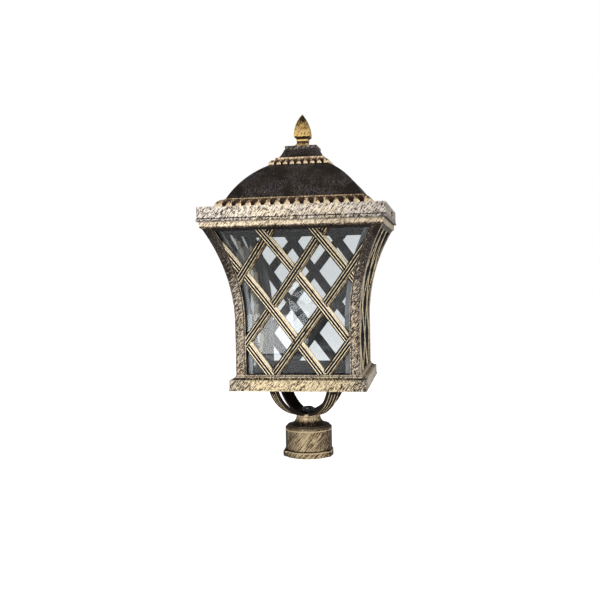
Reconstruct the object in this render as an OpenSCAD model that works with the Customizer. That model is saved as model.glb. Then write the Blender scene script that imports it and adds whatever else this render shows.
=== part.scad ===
// Post top lantern: a flared square cage of woven lattice panels with bent panes,
// a square domed roof with two gadroon rings and a spear finial, and a four armed
// spider on a round post fitter. The origin is the centre of the fitter's foot.
// The front panel faces -Y.

/* [Cage] */
// Width across the cage at its foot
cage_foot_w = 208; // [180:1:250]
// Height of the upright part of the panels
panel_straight_h = 90.5; // [70:1:120]
// Height of the flared part of the panels
flare_h = 156.5; // [120:1:190]
// Radius of the flare, tangent to the upright part
flare_r = 317; // [260:1:420]
// Thickness of a panel casting
panel_t = 10; // [8:0.5:12]
// Width of a corner post on each panel at the foot
post_w = 17.3; // [15:0.5:24]
// Height of the bottom rail of a panel
sill_h = 5.5; // [4:0.5:12]
// Height of the top rail of a panel
head_h = 4; // [3:0.5:12]

/* [Lattice] */
// Rise from one row of crossings to the next
lattice_rise = 57.8; // [45:0.5:70]
// How far the first row of crossings lies below the top of the bottom rail
lattice_drop = 4.8; // [0:0.1:10]
// Width of a bar's reeded face
bar_w = 11; // [9:0.5:13]
// Width of one reed
reed_w = 2.2; // [1.6:0.1:3]
// Depth of the grooves between the reeds
reed_depth = 1.6; // [0.8:0.1:2]
// Width of a bar at its back
bar_back_w = 16; // [13:0.5:18]
// Steps that widen a bar from its face to its back
bar_steps = 2; // [1:1:3]
// How far the reeds lie behind the posts' face
bar_recess = 1.2; // [0.5:0.1:3]

/* [Glass] */
// Thickness of a pane
glass_t = 3; // [2:0.5:4]
// Gap between a pane and the casting before it
glass_gap = 0.25; // [0.1:0.05:0.5]

/* [Top frame and roof] */
// How far the top frame stands out past the panels
frame_over = 3.5; // [2:0.5:8]
// Visible height of the top frame
frame_h = 10; // [8:0.5:16]
// Height of the roof slab's skirt
skirt_h = 24; // [20:1:34]
// Wall of the roof casting
roof_wall = 3; // [2.5:0.5:4]
// Width of the ledge from the slab's edge to the large gadroon ring
slab_ledge = 22.8; // [16:0.2:30]
// Height of the large gadroon ring
large_ring_h = 13.3; // [9:0.1:16]
// Teeth on one side of the large ring
large_teeth = 16; // [12:1:18]
// Height of the dome
dome_h = 60; // [45:1:80]
// Radius of the dome's faces
dome_r = 149; // [130:1:220]
// Half width of the dome's top
crown_half = 51; // [46:0.5:56]
// Height of the small gadroon ring
small_ring_h = 9; // [6:0.5:10]
// Teeth on one side of the small ring
small_teeth = 9; // [7:1:11]
// Height of the plinth, with its fillet
plinth_h = 25.5; // [20:0.5:34]
// Half width of the plinth's lip
plinth_top_half = 27.5; // [24:0.5:31]

/* [Finial] */
// Height of the spear head above its widest part
spear_h = 39; // [30:1:52]
// Half width of the spear at its widest part
spear_half = 13.8; // [12:0.1:16]
// Height of the finial's foot and neck
finial_foot_h = 18.5; // [16:0.5:24]

/* [Base and arms] */
// How far the tray stands out past the panels
tray_over = 9.5; // [8:0.5:16]
// Height of the tray below its step
tray_h = 18; // [16:0.5:24]
// Height of the tray's step
tray_step_h = 3; // [2:0.5:4]
// Width of an arm
arm_w = 25; // [20:0.5:30]
// Thickness of an arm with its ridges
arm_t = 6; // [5:0.5:8]
// Radius of an arm's outer curve
arm_r = 73; // [68:1:84]
// Ridges along an arm
arm_ridges = 4; // [3:1:5]
// Thickness of the spider's hub
hub_t = 6; // [5:0.5:8]

/* [Post fitter] */
// Radius of the fitter's bore
post_bore_r = 38.5; // [34:0.1:42]
// Wall of the fitter
fitter_wall = 2.6; // [2.2:0.1:4]
// Height of the fitter's cylinder
fitter_h = 50; // [40:1:70]
// Height of its shoulder
shoulder_h = 18.5; // [15:0.5:26]
// Radius of its neck and of the hub
neck_r = 21; // [19:0.5:24]
// Height of its foot ring
foot_ring_h = 10; // [9:0.5:14]

/* [Lamp parts] */
// Height of the lamp holder
holder_h = 50; // [46:1:54]
// Radius of the lamp holder
holder_r = 21; // [19:0.5:24]
// Length of the strap
strap_len = 160; // [150:1:170]

/* [Hidden] */
$fn = 96;

// Longer than any part, for cuts that go right through
far = 400;
// Overshoot of a cut past the face it opens
past = 1;
// Gap left between two mitred panels
mitre_gap = 0.1;
// Radial clearance of a screw in a plain hole and in a tapped one
hole_clear = 0.3;
thread_clear = 0.05;

// Heights, from the fitter's foot upwards
neck_z = fitter_h + shoulder_h;
hub_top_z = neck_z + hub_t;
arm_low_z = neck_z + 1.5;
spider_rise = 58.5;
tray_z = arm_low_z + spider_rise;
tray_edge_z = tray_z + tray_h;
panel_z = tray_edge_z + tray_step_h;
sill_z = panel_z + sill_h;
bend_z = panel_z + panel_straight_h;
panel_top_z = bend_z + flare_h;
head_z = panel_top_z - head_h;
frame_top_z = panel_top_z + frame_h;
skirt_gap = 1;
skirt_z = frame_top_z + skirt_gap;
slab_z = skirt_z + skirt_h;

// The cage in plan
foot_half = cage_foot_w / 2;
top_half = foot_half + flare_r - sqrt(flare_r * flare_r - flare_h * flare_h);
pane_front = panel_t + glass_gap;
pane_back = pane_front + glass_t;
pane_edge_gap = 0.4;
strip_gap = 0.2;
strip_t = 1.5;
strip_front = pane_back + strip_gap;
strip_back = strip_front + strip_t;
strip_leg = 26;
post_lean = 8;
post_margin = 3;

// The lattice
lattice_run = (foot_half - post_w) / 2;
lattice_angle = atan2(lattice_rise, lattice_run);
lattice_z = sill_z - lattice_drop;
lattice_rows = ceil((head_z - lattice_z) / lattice_rise);
reed_pitch = (bar_w - reed_w) / 2;
reed_cut_w = bar_w + 0.8;
reeds_back = bar_recess + reed_depth;

// The top frame and the roof in plan
frame_half = top_half + frame_over;
frame_round = 4;
upstand_half = top_half + 1;
upstand_t = 3;
frame_lip_h = 5.5;
frame_lip_t = 2;
skirt_fit = 2.4;
slab_half = upstand_half + skirt_fit + roof_wall;
slab_lip = 1.1;
slab_lip_h = 4;
ring_foot_half = slab_half - slab_ledge;
large_core_half = ring_foot_half - large_ring_h;
dome_fillet_h = 1.7;
dome_z = slab_z + large_ring_h + dome_fillet_h;
dome_foot_half = large_core_half - 2.9;
crown_z = dome_z + dome_h;
small_core_half = crown_half + 1.5 - small_ring_h;
small_ring_top = crown_z + small_ring_h;
plinth_fillet_h = 4;
plinth_fillet_half = small_core_half - 1.5;
plinth_z = small_ring_top + plinth_fillet_h;
roof_top_z = small_ring_top + plinth_h;
plinth_lip_h = 6;
plinth_foot_half = plinth_fillet_half - 4.3;
plinth_cove_r = 45;
slot_share = 0.31;
slot_depth = 0.76;

// The finial
neck_half = 9.2;
finial_ring_half = 10;
finial_foot_half = 12.8;
spear_z = roof_top_z + finial_foot_h;
spear_curve_r = (spear_h * spear_h + spear_half * spear_half) / (2 * spear_half);

// Screws: shank radius, head radius, head height
m3 = [1.5, 2.9, 2];
m4 = [2, 3.8, 2.4];
m5 = [2.5, 4.6, 2.8];
m6 = [3, 5, 4];

// Places of the screws
frame_flange_t = 4.5;
frame_screw_y = top_half - 8.2;
frame_screw_x = top_half - 13;
frame_screw_len = 8;
tray_screw_y = foot_half - panel_t / 2;
tray_screw_x = foot_half - post_w + 5.3;
tray_screw_len = 10;
roof_screw_z = skirt_z + skirt_h / 2;
roof_boss_r = 6;
roof_boss_len = 10;
finial_screw_len = 18;

// The tray
tray_half = foot_half + tray_over;
tray_floor_t = 3.5;
tray_bead = 0.8;
tray_lip_t = 1.9;
tray_rim_in = foot_half - strip_back - strip_gap - tray_lip_t;
channel_in = tray_rim_in + 3.5;
channel_out = tray_half - 3.5;
channel_top_z = panel_z - 8.5;
tray_lip_h = 4;
tray_lip_half = tray_rim_in + tray_lip_t;
inlet_r = 8;
weep_r = 2.5;
weep_at = 75;

// The spider
arm_centre_r = 7;
arm_centre_z = arm_low_z + arm_r;
arm_screw_r = arm_centre_r + sqrt(pow(arm_r, 2) - pow(arm_centre_z - tray_z, 2)) - 7.5;
arm_boss_r = 6;
arm_boss_h = 14;
arm_groove_depth = 1.5;
arm_ridge_w = 3.6;
arm_groove_w = (arm_w - arm_ridges * arm_ridge_w) / arm_ridges;

// The fitter
fitter_r = post_bore_r + fitter_wall;
foot_ring_r = fitter_r + 2.2;
fitter_ceiling_z = fitter_h - 3.5;
nut_room_r = 17;
nut_room_z = neck_z - 6.5;
shoulder_cove_r = 16;
lug_r = 6;
lug_z = 6.2;
lug_end_r = fitter_r + 5.4;
lug_angles = [-150, -30, 90];
set_screw_len = 8;

// The stud and its nuts
stud_r = 8;
stud_bore_r = 5.5;
nut_r = 12;
nut_h = 8.5;
stud_low_z = nut_room_z - nut_h - 2;
stud_top_z = hub_top_z + nut_h + 0.5;

// The lamp parts
strap_w = 22;
strap_t = 2;
strap_z = slab_z + 36.5;
strap_boss_r = 6;
strap_boss_x = strap_len / 2 - 8;
holder_z = strap_z - strap_t - holder_h;
holder_bore_r = 15;
holder_bore_h = 31;
holder_flange_r = holder_r + 3;
holder_flange_h = 8;
holder_screw_x = 17.5;
shell_r = 14.6;
shell_t = 0.8;
shell_h = 27;
shell_crown_h = 4;
shell_crown_r = 11;
block_x = 27;
block_len = 30;
block_w = 18;
block_h = 14;
earth_x = -45;

// Depth at which a step of a bar begins, and its width
function step_depth(step) = reeds_back + (step - 0.5) * (panel_t - reeds_back) / (bar_steps + 0.5);
function step_w(step) = bar_w + step * (bar_back_w - bar_w) / bar_steps;

// Half width of the flare's outline at height z above the bend, for a given foot half and radius
function flare_half(half, radius, z) = half + radius - sqrt(radius * radius - z * z);

// Centre of the circle of radius r through [a, za] and [b, zb], on the side nearer the axis
function arc_mid(a, za, b, zb) = [(a + b) / 2, (za + zb) / 2];
function arc_chord(a, za, b, zb) = sqrt(pow(a - b, 2) + pow(za - zb, 2));
function arc_centre(a, za, b, zb, r) =
    let (m = arc_mid(a, za, b, zb), c = arc_chord(a, za, b, zb), h = sqrt(r * r - c * c / 4))
    [m[0] - h * abs(zb - za) / c, m[1] - h * abs(a - b) / c];

// A view from the front, extruded through the front half: 2D x is X, 2D y is Z
module front_view() {
    rotate([90, 0, 0]) linear_extrude(height = far / 2) children();
}

// A section through the front wall, extruded along X: 2D x points to -Y, 2D y is Z
module front_section() {
    rotate([90, 0, -90]) linear_extrude(height = far, center = true) children();
}

// A solid that is square in plan, with the same outline from the front and from the side
module square_turn() {
    intersection() {
        rotate([90, 0, 0]) linear_extrude(height = far, center = true) children();
        rotate([90, 0, 90]) linear_extrude(height = far, center = true) children();
    }
}

module four_sides() {
    for (turn = [0:90:270]) rotate([0, 0, turn]) children();
}

module centred_rect(half, z0, z1) {
    translate([-half, z0]) square([2 * half, z1 - z0]);
}

// A quarter disc on both sides of the axis, its centre at [half, z], bulging out and up or down
module quarter_discs(half, z, r, up = true) {
    for (side = [-1, 1])
        intersection() {
            translate([side * half, z]) circle(r = r);
            translate([side > 0 ? half : -half - r - past, up ? z : z - r - past])
                square([r + past, r + past]);
        }
}

// Outline of the flared cage, symmetric about the axis
module flare_outline(half, radius, z0, z1) {
    if (z0 < bend_z) centred_rect(half, z0, bend_z);
    difference() {
        centred_rect(far / 2, bend_z, z1);
        for (side = [-1, 1]) translate([side * (half + radius), bend_z]) circle(r = radius, $fn = 180);
    }
}

// Section of a curved wall between two depths behind the outer face
module wall_section(near, deep, z0, z1) {
    if (z0 < bend_z) translate([foot_half - deep, z0]) square([deep - near, min(z1, bend_z) - z0]);
    if (z1 > bend_z)
        intersection() {
            translate([foot_half + flare_r, bend_z])
                difference() {
                    circle(r = flare_r + deep, $fn = 180);
                    circle(r = flare_r + near, $fn = 180);
                }
            translate([0, bend_z]) square([foot_half + flare_r, z1 - bend_z]);
        }
}

module front_wall(near, deep, z0, z1) {
    front_section() wall_section(near, deep, z0, z1);
}

// The wedge that mitres a front panel at its corners
module mitre_wedge() {
    translate([0, -mitre_gap, 0]) linear_extrude(height = 2 * far)
        polygon([[0, 0], [-far, -far], [far, -far]]);
}

// Screws point along +Z with the head's underside at the origin
module screw(size, length) {
    translate([0, 0, -size[2]]) cylinder(r = size[1], h = size[2]);
    cylinder(r = size[0], h = length);
}

// The same with a cross recess in the head
module pan_screw(size, length) {
    recess = size[1] * 0.9;
    difference() {
        screw(size, length);
        for (turn = [0, 90]) rotate([0, 0, turn])
            translate([-recess / 2, -recess / 8, -size[2] - past]) cube([recess, recess / 4, past + size[2] / 2]);
    }
}

// The lattice seen from the front
// A bar leans one way or the other; lean is 1 for a bar that rises to the left
module bar_line(column, lean, width) {
    translate([lean * column * lattice_run, lattice_z])
        rotate([0, 0, lean > 0 ? 180 - lattice_angle : lattice_angle])
            translate([-far, -width / 2]) square([2 * far, width]);
}

module bars(lean, width) {
    for (column = [-1:2:2 * lattice_rows - 1]) bar_line(column, lean, width);
}

module reeds(lean) {
    for (column = [-1:2:2 * lattice_rows - 1])
        for (reed = [-1, 0, 1])
            translate([lean * column * lattice_run, lattice_z])
                rotate([0, 0, lean > 0 ? 180 - lattice_angle : lattice_angle])
                    translate([-far, reed * reed_pitch - reed_w / 2]) square([2 * far, reed_w]);
}

// Bands round every second row of crossings, from the first row given
module row_bands(first) {
    for (row = [first:2:lattice_rows + 1])
        centred_rect(far / 2, lattice_z + (row - 0.5) * lattice_rise, lattice_z + (row + 0.5) * lattice_rise);
}

// Reeds that pass over at every second crossing and stop at the others
module woven_reeds() {
    difference() {
        reeds(1);
        intersection() {
            bars(-1, reed_cut_w);
            row_bands(1);
        }
    }
    difference() {
        reeds(-1);
        intersection() {
            bars(1, reed_cut_w);
            row_bands(0);
        }
    }
}

module panel_opening(grow = 0) {
    flare_outline(foot_half - post_w + grow, flare_r + post_lean, sill_z - grow, head_z + grow);
}

module lattice_layer(near, deep) {
    intersection() {
        front_wall(near, deep, sill_z - past, head_z + past);
        front_view() intersection() {
            panel_opening(0.5);
            children();
        }
    }
}

module panel_frame() {
    difference() {
        union() {
            front_wall(bar_recess, panel_t, panel_z, panel_top_z);
            difference() {
                front_wall(0, bar_recess, panel_z, panel_top_z);
                front_view() panel_opening(post_margin);
            }
            front_wall(-1.6, 0, panel_z, panel_z + 2.2);
            front_wall(-0.8, 0, panel_z + 3, panel_z + 4.6);
        }
        front_view() panel_opening();
    }
}

module panel_holes() {
    for (side = [-1, 1]) {
        translate([side * frame_screw_x, -frame_screw_y, panel_top_z - frame_screw_len - 1])
            cylinder(r = m3[0] + thread_clear, h = far / 2);
        translate([side * tray_screw_x, -tray_screw_y, panel_z - past])
            cylinder(r = m4[0] + thread_clear, h = tray_screw_len + 1 + past);
    }
}

module panel() {
    color("darkgoldenrod")
    intersection() {
        difference() {
            union() {
                panel_frame();
                lattice_layer(reeds_back, panel_t) union() {
                    bars(1, bar_w);
                    bars(-1, bar_w);
                }
                lattice_layer(bar_recess, reeds_back) woven_reeds();
                for (step = [1:bar_steps])
                    lattice_layer(step_depth(step), panel_t) union() {
                        bars(1, step_w(step));
                        bars(-1, step_w(step));
                    }
            }
            panel_holes();
        }
        mitre_wedge();
    }
}

module pane() {
    color("lightcyan")
    intersection() {
        front_wall(pane_front, pane_back, panel_z, panel_top_z - 0.5);
        front_view() flare_outline(foot_half - pane_back - pane_edge_gap,
            flare_r + pane_back + pane_edge_gap, panel_z, panel_top_z - 0.5);
    }
}

module panel_front() { panel(); }
module panel_right() { rotate([0, 0, 90]) panel(); }
module panel_back() { rotate([0, 0, 180]) panel(); }
module panel_left() { rotate([0, 0, 270]) panel(); }
module glass_front() { pane(); }
module glass_right() { rotate([0, 0, 90]) pane(); }
module glass_back() { rotate([0, 0, 180]) pane(); }
module glass_left() { rotate([0, 0, 270]) pane(); }

// One leg of a corner strip, on the front wall at its right corner
module strip_leg_front() {
    intersection() {
        front_wall(strip_front, strip_back, panel_z, panel_top_z - 0.5);
        front_view() intersection() {
            difference() {
                flare_outline(foot_half - strip_front, flare_r + strip_front, panel_z, panel_top_z);
                flare_outline(foot_half - strip_leg, flare_r + post_lean, panel_z - past, panel_top_z + past);
            }
            translate([0, panel_z - past]) square([far, far]);
        }
    }
}

module corner_strips() {
    color("dimgray")
    four_sides() union() {
        strip_leg_front();
        mirror([1, 1, 0]) strip_leg_front();
    }
}

// The top frame: a moulded band in sight, a flange over the panels and an upstand
module frame_outline() {
    centred_rect(frame_half - frame_round, panel_top_z, frame_top_z);
    centred_rect(frame_half, panel_top_z + frame_round, frame_top_z);
    quarter_discs(frame_half - frame_round, panel_top_z + frame_round, frame_round, false);
}

module top_frame() {
    lip_half = flare_half(foot_half - strip_back, flare_r + strip_back, flare_h - frame_lip_h) - 0.4;
    inner_half = lip_half - frame_lip_t;
    color("goldenrod")
    difference() {
        union() {
            difference() {
                union() {
                    square_turn() frame_outline();
                    square_turn() centred_rect(upstand_half, frame_top_z - past, slab_z - roof_wall);
                }
                square_turn() centred_rect(upstand_half - upstand_t, panel_top_z + frame_flange_t, far * 2);
                square_turn() centred_rect(inner_half, panel_top_z - past, far * 2);
            }
            four_sides() translate([-lip_half + 4, -lip_half, panel_top_z - frame_lip_h])
                cube([2 * lip_half - 8, frame_lip_t, frame_lip_h + frame_flange_t / 2]);
            four_sides() translate([0, -upstand_half + upstand_t / 2, roof_screw_z])
                rotate([-90, 0, 0]) cylinder(r = roof_boss_r, h = roof_boss_len - upstand_t / 2);
        }
        four_sides() translate([0, -upstand_half - past, roof_screw_z])
            rotate([-90, 0, 0]) cylinder(r = m5[0] + thread_clear, h = roof_boss_len + 2 * past);
        four_sides() for (side = [-1, 1])
            translate([side * frame_screw_x, -frame_screw_y, panel_top_z - past])
                cylinder(r = m3[0] + hole_clear, h = frame_flange_t + 2 * past);
    }
}

module frame_screws() {
    color("gray")
    four_sides() for (side = [-1, 1])
        translate([side * frame_screw_x, -frame_screw_y, panel_top_z + frame_flange_t])
            rotate([180, 0, 0]) pan_screw(m3, frame_flange_t + frame_screw_len);
}

module roof_screws() {
    color("goldenrod")
    four_sides() translate([0, -slab_half, roof_screw_z])
        rotate([-90, 0, 0]) pan_screw(m5, roof_wall + skirt_fit + roof_boss_len - 2);
}

// The roof's outline: slab, large ring, dome, small ring and plinth
module dome_faces(half, z0, z1, centre, radius) {
    for (side = [-1, 1])
        intersection() {
            translate([side > 0 ? -past : -half, z0]) square([half + past, z1 - z0]);
            translate([side * centre[0], centre[1]]) circle(r = radius, $fn = 180);
        }
}

dome_centre = arc_centre(dome_foot_half, dome_z, crown_half, crown_z, dome_r);
plinth_centre_x = plinth_top_half + 1 + plinth_cove_r;

module roof_outline() {
    centred_rect(slab_half, skirt_z, slab_z);
    centred_rect(slab_half + slab_lip, skirt_z, skirt_z + slab_lip_h);
    centred_rect(large_core_half, slab_z, slab_z + large_ring_h);
    quarter_discs(large_core_half, slab_z, large_ring_h);
    centred_rect(large_core_half - 1.3, slab_z + large_ring_h, dome_z);
    dome_faces(dome_foot_half + past, dome_z, crown_z, dome_centre, dome_r);
    centred_rect(small_core_half, crown_z, small_ring_top);
    quarter_discs(small_core_half, crown_z, small_ring_h);
    centred_rect(plinth_fillet_half, small_ring_top, plinth_z);
    difference() {
        centred_rect(plinth_foot_half, plinth_z, roof_top_z - plinth_lip_h);
        for (side = [-1, 1]) translate([side * plinth_centre_x, roof_top_z - plinth_lip_h + 16])
            circle(r = plinth_cove_r + 2.9);
    }
    centred_rect(plinth_top_half, roof_top_z - plinth_lip_h, roof_top_z);
}

module roof_hollow() {
    inner_r = dome_r - roof_wall;
    inner_centre = dome_centre;
    centred_rect(slab_half - roof_wall, skirt_z - past, slab_z - roof_wall);
    centred_rect(dome_foot_half - roof_wall - 1, slab_z - roof_wall - past, dome_z);
    dome_faces(dome_foot_half - roof_wall - 1, dome_z, crown_z - roof_wall, inner_centre, inner_r);
    centred_rect(plinth_top_half + 4, crown_z - roof_wall, small_ring_top);
    centred_rect(plinth_top_half - roof_wall, small_ring_top - past, roof_top_z - roof_wall - 1);
}

// The gaps between a ring's teeth, seen from the front: a slot with a round foot
module tooth_gaps(teeth, half, z, h) {
    pitch = 2 * half / teeth;
    foot_r = pitch * slot_share * 0.62;
    for (gap = [1:teeth - 1]) translate([gap * pitch - half, z + foot_r + 0.4]) {
        translate([-pitch * slot_share / 2, 0]) square([pitch * slot_share, h]);
        circle(r = foot_r, $fn = 24);
    }
}

module ring_gaps(teeth, half, z, h) {
    four_sides() translate([0, -half - past, 0]) rotate([90, 0, 0])
        translate([0, 0, -h * slot_depth - past]) linear_extrude(height = h * slot_depth + past)
            tooth_gaps(teeth, half, z, h);
}

module roof_casting() {
    color("saddlebrown")
    difference() {
        square_turn() roof_outline();
        difference() {
            square_turn() roof_hollow();
            for (side = [-1, 1]) translate([side * strap_boss_x, 0, strap_z])
                cylinder(r = strap_boss_r, h = crown_z - strap_z);
        }
        for (side = [-1, 1]) translate([side * strap_boss_x, 0, strap_z - past])
            cylinder(r = m4[0] + thread_clear, h = 12 + past);
        ring_gaps(large_teeth, ring_foot_half, slab_z, large_ring_h);
        ring_gaps(small_teeth, small_core_half + small_ring_h, crown_z, small_ring_h);
        four_sides() translate([0, -slab_half - past, roof_screw_z])
            rotate([-90, 0, 0]) cylinder(r = m5[0] + hole_clear, h = roof_wall + 2 * past);
        translate([0, 0, roof_top_z - roof_wall - 2 * past]) cylinder(r = m6[0] + hole_clear, h = far / 4);
    }
}

module finial_outline() {
    z = roof_top_z;
    half_points = [[finial_foot_half, z], [finial_foot_half, z + 2], [neck_half, z + 7],
        [neck_half, z + 9.5], [finial_ring_half, z + 10.2], [finial_ring_half, z + 12.8],
        [spear_half - 0.4, spear_z - 2], [spear_half, spear_z]];
    polygon(concat(half_points, [for (i = [len(half_points) - 1:-1:0]) [-half_points[i][0], half_points[i][1]]]));
    intersection() {
        centred_rect(spear_half + past, spear_z, spear_z + spear_h + past);
        translate([-(spear_curve_r - spear_half), spear_z]) circle(r = spear_curve_r, $fn = 180);
        translate([spear_curve_r - spear_half, spear_z]) circle(r = spear_curve_r, $fn = 180);
    }
}

module finial() {
    color("gold")
    difference() {
        square_turn() finial_outline();
        translate([0, 0, roof_top_z - past]) cylinder(r = m6[0] + thread_clear, h = finial_screw_len - 3 + past);
    }
}

module finial_screw() {
    color("gray")
    translate([0, 0, roof_top_z - roof_wall - 1]) union() {
        translate([0, 0, -m6[2]]) cylinder(r = m6[1] + 0.8, h = m6[2], $fn = 6);
        cylinder(r = m6[0], h = finial_screw_len - 3 + roof_wall);
    }
}

// The tray: a rim over an open channel, a floor and a low lip behind the panes
module tray_outline() {
    bead = tray_half + tray_bead;
    points = [[bead, tray_z], [bead, tray_z + 2.5], [tray_half, tray_z + 4], [tray_half, tray_edge_z],
        [foot_half + 6, tray_edge_z], [foot_half + 3, panel_z]];
    polygon(concat(points, [for (i = [len(points) - 1:-1:0]) [-points[i][0], points[i][1]]]));
}

module base_tray() {
    color("goldenrod")
    difference() {
        union() {
            square_turn() tray_outline();
            four_sides() translate([-tray_lip_half + 3, -tray_lip_half, panel_z - past])
                cube([2 * tray_lip_half - 6, tray_lip_t, tray_lip_h + past]);
        }
        square_turn() centred_rect(tray_rim_in, tray_z + tray_floor_t, far);
        difference() {
            square_turn() centred_rect(channel_out, tray_z - past, channel_top_z);
            square_turn() centred_rect(channel_in, tray_z - 2 * past, channel_top_z + past);
        }
        four_sides() for (side = [-1, 1]) translate([side * tray_screw_x, -tray_screw_y, tray_z])
            cylinder(r = m4[0] + hole_clear, h = far);
        for (turn = [45:90:315]) rotate([0, 0, turn]) {
            translate([arm_screw_r, 0, tray_z - past]) cylinder(r = m5[0] + hole_clear, h = tray_floor_t + 2 * past);
            rotate([0, 0, 45]) translate([weep_at, 0, tray_z - past]) cylinder(r = weep_r, h = tray_floor_t + 2 * past);
        }
        translate([0, 0, tray_z - past]) cylinder(r = inlet_r, h = tray_floor_t + 2 * past);
    }
}

module tray_screws() {
    color("gray")
    four_sides() for (side = [-1, 1]) translate([side * tray_screw_x, -tray_screw_y, channel_top_z])
        pan_screw(m4, panel_z - channel_top_z + tray_screw_len);
}

module inlet_grommet() {
    color("black")
    rotate_extrude() polygon([[5, tray_z - 2], [10.5, tray_z - 2], [10.5, tray_z - 0.1], [inlet_r - 0.1, tray_z - 0.1],
        [inlet_r - 0.1, tray_z + tray_floor_t + 0.1], [10.5, tray_z + tray_floor_t + 0.1],
        [10.5, tray_z + tray_floor_t + 2], [5, tray_z + tray_floor_t + 2]]);
}

// Section of an arm in its own upright plane: 2D x is the distance from the axis
module arm_section(outer, inner) {
    intersection() {
        translate([arm_centre_r, arm_centre_z]) difference() {
            circle(r = outer, $fn = 180);
            circle(r = inner, $fn = 180);
        }
        translate([arm_centre_r, arm_low_z - 2 * past]) square([far, tray_z - arm_low_z + 2 * past]);
    }
}

module arm() {
    difference() {
        union() {
            rotate([90, 0, 0]) linear_extrude(height = arm_w, center = true) arm_section(arm_r, arm_r - arm_t);
            translate([arm_screw_r, 0, tray_z - arm_boss_h]) cylinder(r = arm_boss_r, h = arm_boss_h);
        }
        for (groove = [0:arm_ridges]) rotate([90, 0, 0])
            translate([0, 0, -arm_w / 2 + (groove - 0.5) * (arm_ridge_w + arm_groove_w) + arm_ridge_w / 2])
                linear_extrude(height = arm_groove_w) arm_section(arm_r + past, arm_r - arm_groove_depth);
        translate([arm_screw_r, 0, tray_z - arm_boss_h + 2])
            cylinder(r = m5[0] + thread_clear, h = arm_boss_h);
    }
}

module arm_spider() {
    color("darkgoldenrod")
    difference() {
        union() {
            for (turn = [45:90:315]) rotate([0, 0, turn]) arm();
            translate([0, 0, neck_z]) cylinder(r = neck_r, h = hub_t);
        }
        translate([0, 0, neck_z - past]) cylinder(r = stud_r + hole_clear, h = far / 4);
        translate([0, 0, hub_top_z]) cylinder(r = nut_r + 0.8, h = nut_h);
    }
}

module arm_screws() {
    color("gray")
    for (turn = [45:90:315]) rotate([0, 0, turn]) translate([arm_screw_r, 0, tray_z + tray_floor_t])
        rotate([180, 0, 0]) pan_screw(m5, tray_floor_t + arm_boss_h - 3);
}

module fitter_section() {
    cove = fitter_r - 3.9;
    difference() {
        union() {
            translate([0, 0]) square([fitter_r, fitter_h]);
            translate([0, 0]) square([foot_ring_r, foot_ring_h]);
            translate([0, fitter_h]) square([fitter_r - 1.5, 1.5]);
            translate([0, fitter_h + 1.5]) square([cove, shoulder_h - 1.5]);
        }
        translate([cove, fitter_h + 1.5 + shoulder_cove_r + 2.5]) circle(r = shoulder_cove_r);
        translate([neck_r, fitter_h + 1.5 + shoulder_cove_r]) square([far, far]);
        translate([0, -past]) square([post_bore_r, fitter_ceiling_z + past]);
        translate([0, fitter_ceiling_z - past]) square([nut_room_r, nut_room_z - fitter_ceiling_z + past]);
        translate([0, -past]) square([stud_r + hole_clear, far]);
    }
}

module post_fitter() {
    color("darkgoldenrod")
    difference() {
        union() {
            rotate_extrude() fitter_section();
            difference() {
                for (turn = lug_angles) rotate([0, 0, turn]) translate([0, 0, lug_z])
                    rotate([0, 90, 0]) cylinder(r = lug_r, h = lug_end_r);
                translate([0, 0, -past]) cylinder(r = post_bore_r + fitter_wall / 2, h = 2 * foot_ring_h);
            }
        }
        for (turn = lug_angles) rotate([0, 0, turn]) translate([0, 0, lug_z])
            rotate([0, 90, 0]) cylinder(r = m6[0] + thread_clear, h = far);
    }
}

module set_screws() {
    color("gray")
    for (turn = lug_angles) rotate([0, 0, turn]) translate([post_bore_r, 0, lug_z]) rotate([0, 90, 0])
        difference() {
            cylinder(r = m6[0], h = set_screw_len);
            translate([0, 0, set_screw_len - 4]) cylinder(r = 1.7, h = 4 + past, $fn = 6);
        }
}

module hollow_stud() {
    color("silver")
    translate([0, 0, stud_low_z]) difference() {
        cylinder(r = stud_r, h = stud_top_z - stud_low_z);
        translate([0, 0, -past]) cylinder(r = stud_bore_r, h = far / 4);
    }
}

module stud_nut(z) {
    translate([0, 0, z]) difference() {
        intersection() {
            cylinder(r = nut_r, h = nut_h, $fn = 6);
            cylinder(r1 = nut_r + nut_h - 0.9, r2 = nut_r - 0.9, h = nut_h);
        }
        translate([0, 0, -past]) cylinder(r = stud_r + thread_clear, h = nut_h + 2 * past);
    }
}

module gland_nut() {
    color("black") stud_nut(hub_top_z);
}

module lower_nut() {
    color("silver") stud_nut(nut_room_z - nut_h);
}

module stud_bush() {
    color("black")
    rotate_extrude() polygon([[4.3, stud_top_z - 8], [stud_bore_r - 0.1, stud_top_z - 8],
        [stud_bore_r - 0.1, stud_top_z + 0.1], [stud_r - 0.5, stud_top_z + 0.1],
        [stud_r - 0.5, stud_top_z + 1.3], [4.3, stud_top_z + 1.3]]);
}

module lamp_strap() {
    color("lightgray")
    difference() {
        translate([-strap_len / 2, -strap_w / 2, strap_z - strap_t]) cube([strap_len, strap_w, strap_t]);
        for (x = [-strap_boss_x, strap_boss_x]) translate([x, 0, strap_z - 2 * strap_t])
            cylinder(r = m4[0] + hole_clear, h = 3 * strap_t);
        for (x = [-holder_screw_x, holder_screw_x, earth_x]) translate([x, 0, strap_z - 2 * strap_t])
            cylinder(r = m3[0] + hole_clear, h = 3 * strap_t);
        translate([0, 0, strap_z - 2 * strap_t]) cylinder(r = 6, h = 3 * strap_t);
    }
}

module strap_screws() {
    color("gray")
    for (x = [-strap_boss_x, strap_boss_x]) translate([x, 0, strap_z - strap_t])
        pan_screw(m4, strap_t + 11);
}

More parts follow.
